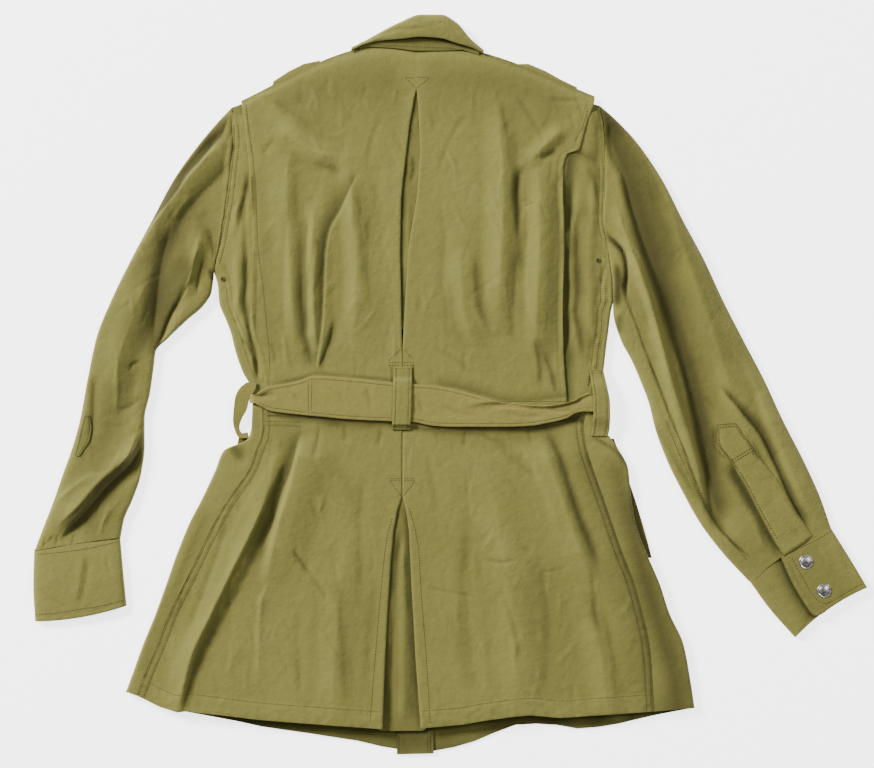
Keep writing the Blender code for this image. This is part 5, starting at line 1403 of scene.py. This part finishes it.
for x, leaf, fold, front_end, top in zip(collar_at, leaf_y, fold_y, front_y, collar_top):
    turn = min(3.6, (fold - leaf) * 0.4)
    section = []
    for share in np.linspace(0, 1, LEAF_COLUMNS) ** 1.15:
        y = leaf + share * (fold - turn - leaf)
        section.append((x, y, top + 0.7 * np.sin(np.pi * share) - 0.5 * np.exp(-(y - leaf) / 0.7)))
    for angle in HALF_TURN:
        section.append((x, fold - turn + turn * np.sin(angle), top / 2 * (1 + np.cos(angle))))
    for share in np.linspace(0, 1, 8)[1:]:
        section.append((x, fold - turn + share * (front_end - fold + turn), 0))
    sections.append(section)
points = np.array(sections)
x, y = points[:, :, 0], points[:, :, 1]
swell = worn_cloth(x, y, 91.0, 0.55) + relief(x, y, CREASES_COLLAR)
points[:, :LEAF_COLUMNS + 2, 2] += swell[:, :LEAF_COLUMNS + 2]
cloth("collar", points, jacket_paint, wall=1.8, flip=True, tone=-0.14 + 0 * swell)


NECK_MIDDLE_X = SLIT[0][1]


def neck_edge(x):
    """y of the back's neck and shoulder edge at x."""
    start_y, end_x, end_y, third, two_thirds = BACK_LEFT[0] if x < NECK_MIDDLE_X else BACK_RIGHT[0]
    share = (x - NECK_MIDDLE_X) / (end_x - NECK_MIDDLE_X)
    return start_y + share * (end_y - start_y) + bow(share, third, two_thirds)


NECK_SEAM = [(-98, 365), (-90, 365.5), (-61, 364), (-34, 361), (-13, 361), (11, 362), (34, 356)]
over = np.linspace(0, 1, 12)
sections = []
for x in np.linspace(-98, 32, 70):
    start = min(neck_edge(x) + SEAM, float(ease(np.array(x), *np.array(NECK_SEAM, float).T)))
    end = max(np.interp(x, collar_table[:, 0], collar_table[:, 1]) + 4.5, start + 3)
    sections.append([(x, start + share * (end - start), 6.9 + share**0.5) for share in over])
points = np.array(sections)
x, y = points[:, :, 0], points[:, :, 1]
points[:, :, 2] += worn_cloth(x, y, 95.0, 0.4) - 0.2
# The stand is painted darker towards the collar's leaf, as painted shade under the leaf's edge, and a little
# darker all over
collar_stand = cloth("collar_stand", points, jacket_paint, tone=-0.35 - 0.8 * over[None, :] ** 2 + 0 * x)

# Belt: a doubled strap of the same twill with a row of stitching along each edge, seamed at the
# back's left. It runs round the waist; at the right its upper part is folded over and twisted.
BELT_TOP = 11.6
BELT_CLOTH = 1.6
# Columns: x, y of the upper and of the lower edge, how much higher than usual
BELT_BACK = [
    (-208, -9, -21, 0), (-201, -4.5, -24.5, 0), (-193, -1, -28, 0), (-180, 1, -30, 0), (-161, 5, -32, 0),
    (-152, 8.5, -33, 0), (-145, 10, -33.5, 0), (-107, 7.5, -37, 0), (-64, 3, -39, 0),
    (-39, 1, -40, 0), (-17, -0.5, -44, 0), (7, -5, -45, 0.5), (33, -12, -45, 1.5),
    (60, -19.5, -45, 2), (86, -21.5, -44, 2), (110, -21.5, -40, 2), (126, -19, -36, 1.5),
    (137, -14.6, -30, 1), (148, -10, -28.6, 0.5), (160, -8, -28.6, 0),
]
BELT_SEAM_X = -152.0
BELT_FRONT_Y = (0.0, -42.0)
FRONT_MIDDLE_X = -19.5
TWIST_EDGE = [
    (10, -44), (15, -23), (38, -19.5), (65, -18.4), (87, -22.7), (103, -23.8), (119, -21.6),
    (136, -17.3), (143, -11.9), (154, -8.1),
]
CREASES_BELT = [
    (-1.4, 5, 6, [(-206, -12), (-196, -10), (-186, -12)]), (-0.7, 4, 4, [(-170, -8), (-160, -20)]),
    (-0.7, 5, 5, [(-120, -6), (-112, -24)]), (-0.8, 5, 5, [(-90, 0), (-84, -26)]),
    (-1.2, 4, 8, [(104, -26), (120, -28), (137, -27)]), (-0.9, 5, 5, [(-34, -8), (-28, -34)]),
    (0.9, 5, 5, [(110, -16), (128, -13), (142, -10)]), (-0.8, 5, 6, [(-10, -20), (10, -30), (34, -33)]),
    (-0.8, 4, 4, [(60, -30), (84, -34), (104, -33)]), (0.7, 4, 4, [(40, -26), (70, -26), (96, -29)]),
]
# Painted shade on the belt: at its left end by the loop, and under the twisted fold at the right
PAINTED_SHADING_BELT = [
    (-1.2, 3, 3, [(-215, -9), (-205, -11), (-195, -10)]),
    (-0.5, 5, 3, [(-214, -22), (-206, -22), (-196, -26)]),
    (-0.6, 2.5, 6, [(100, -25), (119, -23.5), (136, -19), (146, -13)]),
]
belt_paint = cotton("belt_twill", (0.146, 0.129, 0.0285), 5)


def belt_run(word, side, turn_x, outer_end, tip_y):
    """Half of the belt: over the back from the seam, round the side, and under the fronts."""
    table = np.array(BELT_BACK, float)
    inner_end = BELT_SEAM_X + side * SEAM / 2
    at = np.linspace(inner_end, outer_end, int(abs(outer_end - inner_end) / 1.8))
    upper, lower, up = (ease(at, table[:, 0], table[:, column]) for column in (1, 2, 3))
    # Columns: x, height, upper edge's y, lower edge's y, whether it is on the back
    stations = [(x, BELT_TOP + rise, high, low, 1) for x, high, low, rise in zip(at, upper, lower, up)]
    half = BELT_TOP / 2
    for angle in np.radians(np.linspace(0, 180, 11)):
        stations.append((turn_x - side * half * (1 - np.sin(angle)), half * (1 + np.cos(angle)), *tip_y, 0))
    start_x = turn_x - side * half
    for share in np.linspace(0, 1, 12)[1:]:
        high, low = (tip + min(1, share * 4) * (end - tip) for tip, end in zip(tip_y, BELT_FRONT_Y))
        stations.append((start_x + share * (FRONT_MIDDLE_X + side - start_x), 0, high, low, 0))
    stations = np.array(stations, float)[:, :, None]
    shares = edged(42, 2.2)[None, :]
    x = stations[:, 0] + 0 * shares
    y = stations[:, 2] + shares * (stations[:, 3] - stations[:, 2])
    width = np.abs(y[:, -1:] - y[:, :1])
    z = relief(x, y, CREASES_BELT) + worn_cloth(x, y, 101.0, 0.55)
    for inset in (shares * width, (1 - shares) * width):
        z += sewn_edge(inset, x, y, 104.0, (3.4,), 0.25, 0.8) * 0.6
    if side > 0:
        edge_y = read_at(TWIST_EDGE, x, 1)
        doubled = ramp(x, 8, 38) * ramp(x, 166, 156)
        z += doubled * 1.3 * np.clip((y - edge_y) / 1.2 + 0.5, 0, 1)
        z -= doubled * 0.9 * bell(np.minimum(y - edge_y + 1.5, 0), 5) * (y < edge_y - 1.5)
    else:
        from_seam = np.abs(x - BELT_SEAM_X)
        z += 0.5 * bell(from_seam, 1.6) - 0.8 * np.exp(-from_seam / 0.5)
    points = np.stack([x, y, stations[:, 1] + z * stations[:, 4]], axis=2)
    return cloth(f"belt_{word}", points, belt_paint, wall=BELT_CLOTH, flip=side < 0,
                 tone=relief(x, y, PAINTED_SHADING_BELT))


belt_left = belt_run("left", -1, -216.0, -208.0, (-10.0, -19.5))
belt_right = belt_run("right", 1, 168.5, 160.0, (-8.0, -28.6))

# Belt loops: doubled strips of twill. The middle one is sewn down above and below the belt, the
# right one arches over it at the side seam, and the left one has sagged out beside the jacket.
# Columns: x and y of both edges, height
LOOP_CENTRE = [
    (-60.5, 19.5, -40.5, 19.5, 8.6), (-60.5, 10, -40.5, 10, 9.2), (-60.7, 4, -40.7, 4, BELT_TOP + 0.6),
    (-61, -18, -41, -18, BELT_TOP + 1.2), (-62, -42, -42, -42, BELT_TOP + 0.6),
    (-62.4, -45, -42.2, -45, 9.4), (-62.6, -48, -42.4, -48, 8.6),
]
LOOP_RIGHT = [
    (151, 17, 166, 17, 7.2), (152, 10, 167.4, 10, 8.5), (153.5, -2, 170, -2, BELT_TOP + 1.2),
    (155, -20, 173, -20, BELT_TOP + 1.6), (155, -34, 173.2, -34, BELT_TOP + 1.2),
    (154, -46, 172.8, -46, 9.4), (152.5, -55, 171, -55, 8.8),
]
LOOP_LEFT = [
    (-219, 3, -208, 2, 9.2), (-226, -3, -210, -5, 9.2), (-231, -12, -215.5, -14, 8.6),
    (-233, -25, -219, -27, 7.4), (-234, -38, -224, -36, 6), (-232, -49, -227, -46, 5),
    (-226, -57.5, -224, -52, 5.2), (-217, -57, -218, -51, 5.6),
]
loops = {}
for node, table, paint, wall, width in (
    ("belt_loop_centre", LOOP_CENTRE, jacket_paint, 1.3, 20),
    ("belt_loop_right", LOOP_RIGHT, jacket_paint, 1.3, 17),
    ("belt_loop_left", LOOP_LEFT, belt_paint, 2.0, 11),
):
    rows = eased_rows(table, 1.2)
    shares = np.linspace(0, 1, 24)[None, :]
    x, y = between(rows, shares)
    z = rows[:, 4:5] + (0 if node == "belt_loop_left" else CLOTH) + 0 * x
    z += worn_cloth(x, y, 111.0, 0.4)
    if node != "belt_loop_left":
        for inset in (shares * width, (1 - shares) * width):
            z += sewn_edge(inset + 0 * x, x, y, 113.0, (3.0,), 0.3, 0.5)
    loops[node] = cloth(node, np.stack([x, y, z], axis=2), paint, wall=wall, flip=True)

# Eyelets: a small worked hole under each arm, ringed with thread; a near-black disc in its middle is painted
# shade standing in for the hole.
thread_paint = cotton("olive_thread", (0.046, 0.042, 0.0105), 0, bumps=0.35)
hole_shade_paint = bpy.data.materials.new("eyelet_shade")
hole_shade_paint.use_nodes = True
hole_shade_paint.node_tree.nodes["Principled BSDF"].inputs["Base Color"].default_value = (0.02, 0.018, 0.01, 1)
hole_shade_paint.node_tree.nodes["Principled BSDF"].inputs["Roughness"].default_value = 1.0
EYELETS = [(side_back_left, -244.6, 114.5), (side_back_right, 160.5, 134.5)]
EYELET_PARTS = [("ring", 1.9, 0.75, thread_paint), ("shade", 0.0, 1.3, hole_shade_paint)]
for number, (carrier, x, y) in enumerate(EYELETS):
    base_z = top_at(surface_of(carrier), x, y, UNDER_TOP)
    for part, radius, tube_radius, paint in EYELET_PARTS:
        work = bmesh.new()
        if part == "ring":
            bmesh.ops.create_circle(work, segments=10, radius=tube_radius * MM, cap_ends=False)
            upright = Matrix.Rotation(np.pi / 2, 3, "X")
            bmesh.ops.rotate(work, verts=work.verts, cent=(0, 0, 0), matrix=upright)
            bmesh.ops.translate(work, verts=work.verts, vec=(radius * MM, 0, 0))
            bmesh.ops.spin(work, geom=work.verts[:] + work.edges[:], cent=(0, 0, 0), axis=(0, 0, 1),
                           angle=2 * np.pi, steps=28, use_merge=True, use_duplicate=False)
            bmesh.ops.recalc_face_normals(work, faces=work.faces)
        else:
            bmesh.ops.create_cone(work, segments=20, cap_ends=True, cap_tris=False, radius1=tube_radius * MM,
                                  radius2=tube_radius * MM, depth=0.3 * MM)
        bmesh.ops.translate(work, vec=(x * MM, y * MM, (base_z + 0.1) * MM), verts=work.verts)
        finished(f"eyelet_{part}_{number}", mesh_of(f"eyelet_{part}_{number}", work), paint)

# Topstitching: rows of cotton thread, a stitch about every 3 mm, pulled into the cloth along
# seams, hems, pleats, straps and cuffs.
stitch_mesh = bmesh.new()
bmesh.ops.create_icosphere(stitch_mesh, subdivisions=1, radius=1.0)
stitch_verts = np.array([vert.co[:] for vert in stitch_mesh.verts])
stitch_faces = np.array([[vert.index for vert in face.verts] for face in stitch_mesh.faces])
stitch_mesh.free()


FIRST_STITCH = 0.4    # how far from a line's start
TALLEST_STEP = 1.6    # a stitch that would climb more is left out
STITCH_RISE = 0.1     # how far the thread stands out of the cloth


def sew(piece, lines, pitch=3.0, length=2.35, width=0.85):
    """Stitches lying in a piece's upper surface along lines of points in plan."""
    tree = surface_of(piece)
    places, turns = [], []
    for line in lines:
        line = eased_path(line, 2.0)
        run = walked(line)
        for start in np.arange(FIRST_STITCH, run[-1] - length, pitch):
            ends = np.stack([np.interp([start, start + length], run, column) for column in line.T], axis=1)
            heights = [top_at(tree, *end, None) for end in ends]
            if None in heights or abs(heights[0] - heights[1]) > TALLEST_STEP:
                continue
            first, second = (np.array([*end, height]) for end, height in zip(ends, heights))
            way = (second - first) / np.linalg.norm(second - first)
            aside = np.cross([0, 0, 1], way)
            aside /= np.linalg.norm(aside)
            over = np.cross(way, aside)
            turns.append(np.stack([way * length / 2, aside * width / 2, over * width * 0.42]))
            places.append((first + second) / 2 + [0, 0, STITCH_RISE])
    if not places:
        return
    places, turns = np.array(places), np.array(turns)
    verts = (np.einsum("vk,nkj->nvj", stitch_verts, turns) + places[:, None]).reshape(-1, 3) * MM
    steps = np.arange(len(places))[:, None, None] * len(stitch_verts)
    faces = (stitch_faces[None] + steps).reshape(-1, 3)
    name = piece.name.replace("_cloth", "_thread")
    mesh = bpy.data.meshes.new(name)
    mesh.from_pydata(verts.tolist(), [], faces.tolist())
    finished(name, mesh, thread_paint)


def beside(line, offset):
    """The same line, moved to its left by offset."""
    line = eased_path(line, 6.0)
    way = np.gradient(line, axis=0)
    way /= np.linalg.norm(way, axis=1)[:, None]
    return line + offset * np.stack([-way[:, 1], way[:, 0]], axis=1)


side_seam_left = [row for row in SEAM_LEFT if row[1] <= -44]
side_seam_right = [row for row in SEAM_RIGHT if row[1] <= -44]
sew(skirt_left, [
    beside(side_seam_left, 2.0), beside(side_seam_left, 8.0),
    beside(HEM_BACK_LEFT[::-1], -HEM_STITCH),
    [(-62, -143), (-68, -167), (-72, -200), (-84, -340), (-86, -366)],
    [(-202, -32), (-180, -33), (-159, -34)], [(-200, -39), (-159, -40)], [(-200, -43.5), (-159, -44.5)],
    [(-65, -103), (-52.5, -103)], [(-65, -103), (-52, -120)], [(-65, -101), (-52.5, -101)],
])
sew(skirt_right, [
    beside(side_seam_right, -2.0), beside(side_seam_right, -8.0),
    beside(HEM_BACK_RIGHT, HEM_STITCH),
    [(-44, -132), (-37, -157), (-33, -184), (-31, -221), (-28, -259), (-25, -297), (-23, -329), (-21, -366)],
    [(-49.5, -103), (-37, -103)], [(-37, -103), (-50, -120)], [(-49.5, -101), (-37, -101)],
])
sew(back_left, [
    [(-220, 303), (-217, 275), (-212, 243), (-209, 211), (-208, 178), (-207, 151), (-205, 130), (-202, 113),
     (-200, 92), (-197, 59), (-195, 38), (-194, 8)],
    [(-48, 332), (-37, 332)], [(-48, 332), (-37, 321)],
    [(-66, 26), (-53, 39)], [(-66, 24.5), (-52, 24.5)], [(-66, 21.5), (-52, 21.5)],
])
sew(back_right, [
    [(150, 300), (143, 278), (134, 262)], [(-35, 332), (-21, 332)], [(-21, 332), (-35, 321)],
    [(-50, 39), (-38, 26)], [(-50, 24.5), (-38, 24.5)], [(-50, 21.5), (-38, 21.5)],
])
sew(side_back_left, [beside(ARMHOLE_LEFT[1:], 2.0), beside(ARMHOLE_LEFT[1:], 6.6)])
sew(side_back_right, [
    beside(ARMHOLE_RIGHT[3:], -2.0), beside(ARMHOLE_RIGHT[3:], -6.6), beside(SEAM_RIGHT[1:8], -2.2),
    beside(SEAM_RIGHT[1:8], -8.0)])
sew(sleeve_right, [
    [(233, -38), (245, -68), (271, -124)], [(215, 24), (224, 5), (232, -20), (240, -42), (251, -64),
                                            (269, -110), (283, -140), (305, -170), (322, -190)],
])
sew(cuff_left, [
    beside([(-447, -252), (-425, -250), (-400, -246), (-375, -242), (-351, -236)], 4.0),
    [(-446, -183), (-425, -181), (-400, -178), (-375, -173), (-358, -169)],
])
sew(cuff_right, [
    [(369, -186), (380, -206), (391, -225), (398, -233), (406, -236), (414, -232)],
    [(414, -233), (430, -223), (446, -214)], [(376, -266), (390, -252), (402, -244)],
    [(330, -210), (350, -193), (364, -184)], [(366, -182), (390, -170), (411, -158)],
])
sew(plackets["right"], [
    [(290.5, -46), (306.5, -44.5), (315, -55), (325, -68), (327.5, -75)],
    [(290.5, -46), (291, -61), (305, -82), (321, -107), (337, -138), (354, -166)],
    [(304, -81), (327, -67)], [(305, -84), (328, -70)],
], width=1.15)
sew(belt_left, [
    [(-205, -11.5), (-193, -5), (-180, -2.5), (-161, 1.5), (-153, 4.5)],
    [(-205, -19), (-193, -24), (-180, -26), (-161, -28.5), (-153, -29.5)],
])
sew(belt_right, [
    [(-150, 6), (-145, 6.4), (-107, 4), (-64, -0.4), (-39, -2.4), (-17, -4), (7, -8.4), (33, -15.4)],
    [(-150, -29.5), (-107, -33.5), (-64, -35.5), (-39, -36.5), (-17, -40.5), (7, -41.5), (60, -41.5),
     (86, -40.5), (110, -36.5), (126, -32.5), (137, -26.8)],
    [(-148.5, 5), (-149.5, -28)],
])
sew(loops["belt_loop_centre"], [
    [(-57.5, 19), (-57.7, 0), (-59, -46)], [(-43.5, 19), (-43.7, 0), (-45, -46)],
    [(-60, 17.6), (-41, 17.6)], [(-62, -46), (-43, -46)],
], 2.6, 2.0)
sew(loops["belt_loop_right"], [
    [(154, 15), (156, 0), (158, -20), (158, -36), (156, -53)], [(163.5, 15), (167, 0), (170, -20), (170, -36),
                                                               (168, -53)],
    [(152, 15.5), (165, 15.5)], [(152, 13), (165, 13)],
], 2.6, 2.0)
sew(front_band, [[(-54.5, -372), (-54.5, -397)], [(-21, -372), (-21, -396)], [(-24, -372), (-24, -396)]])
sew(collar_stand, [[(-80, 367.5), (-53, 366), (-21, 364.5), (0, 363.5), (18, 361.5)]])
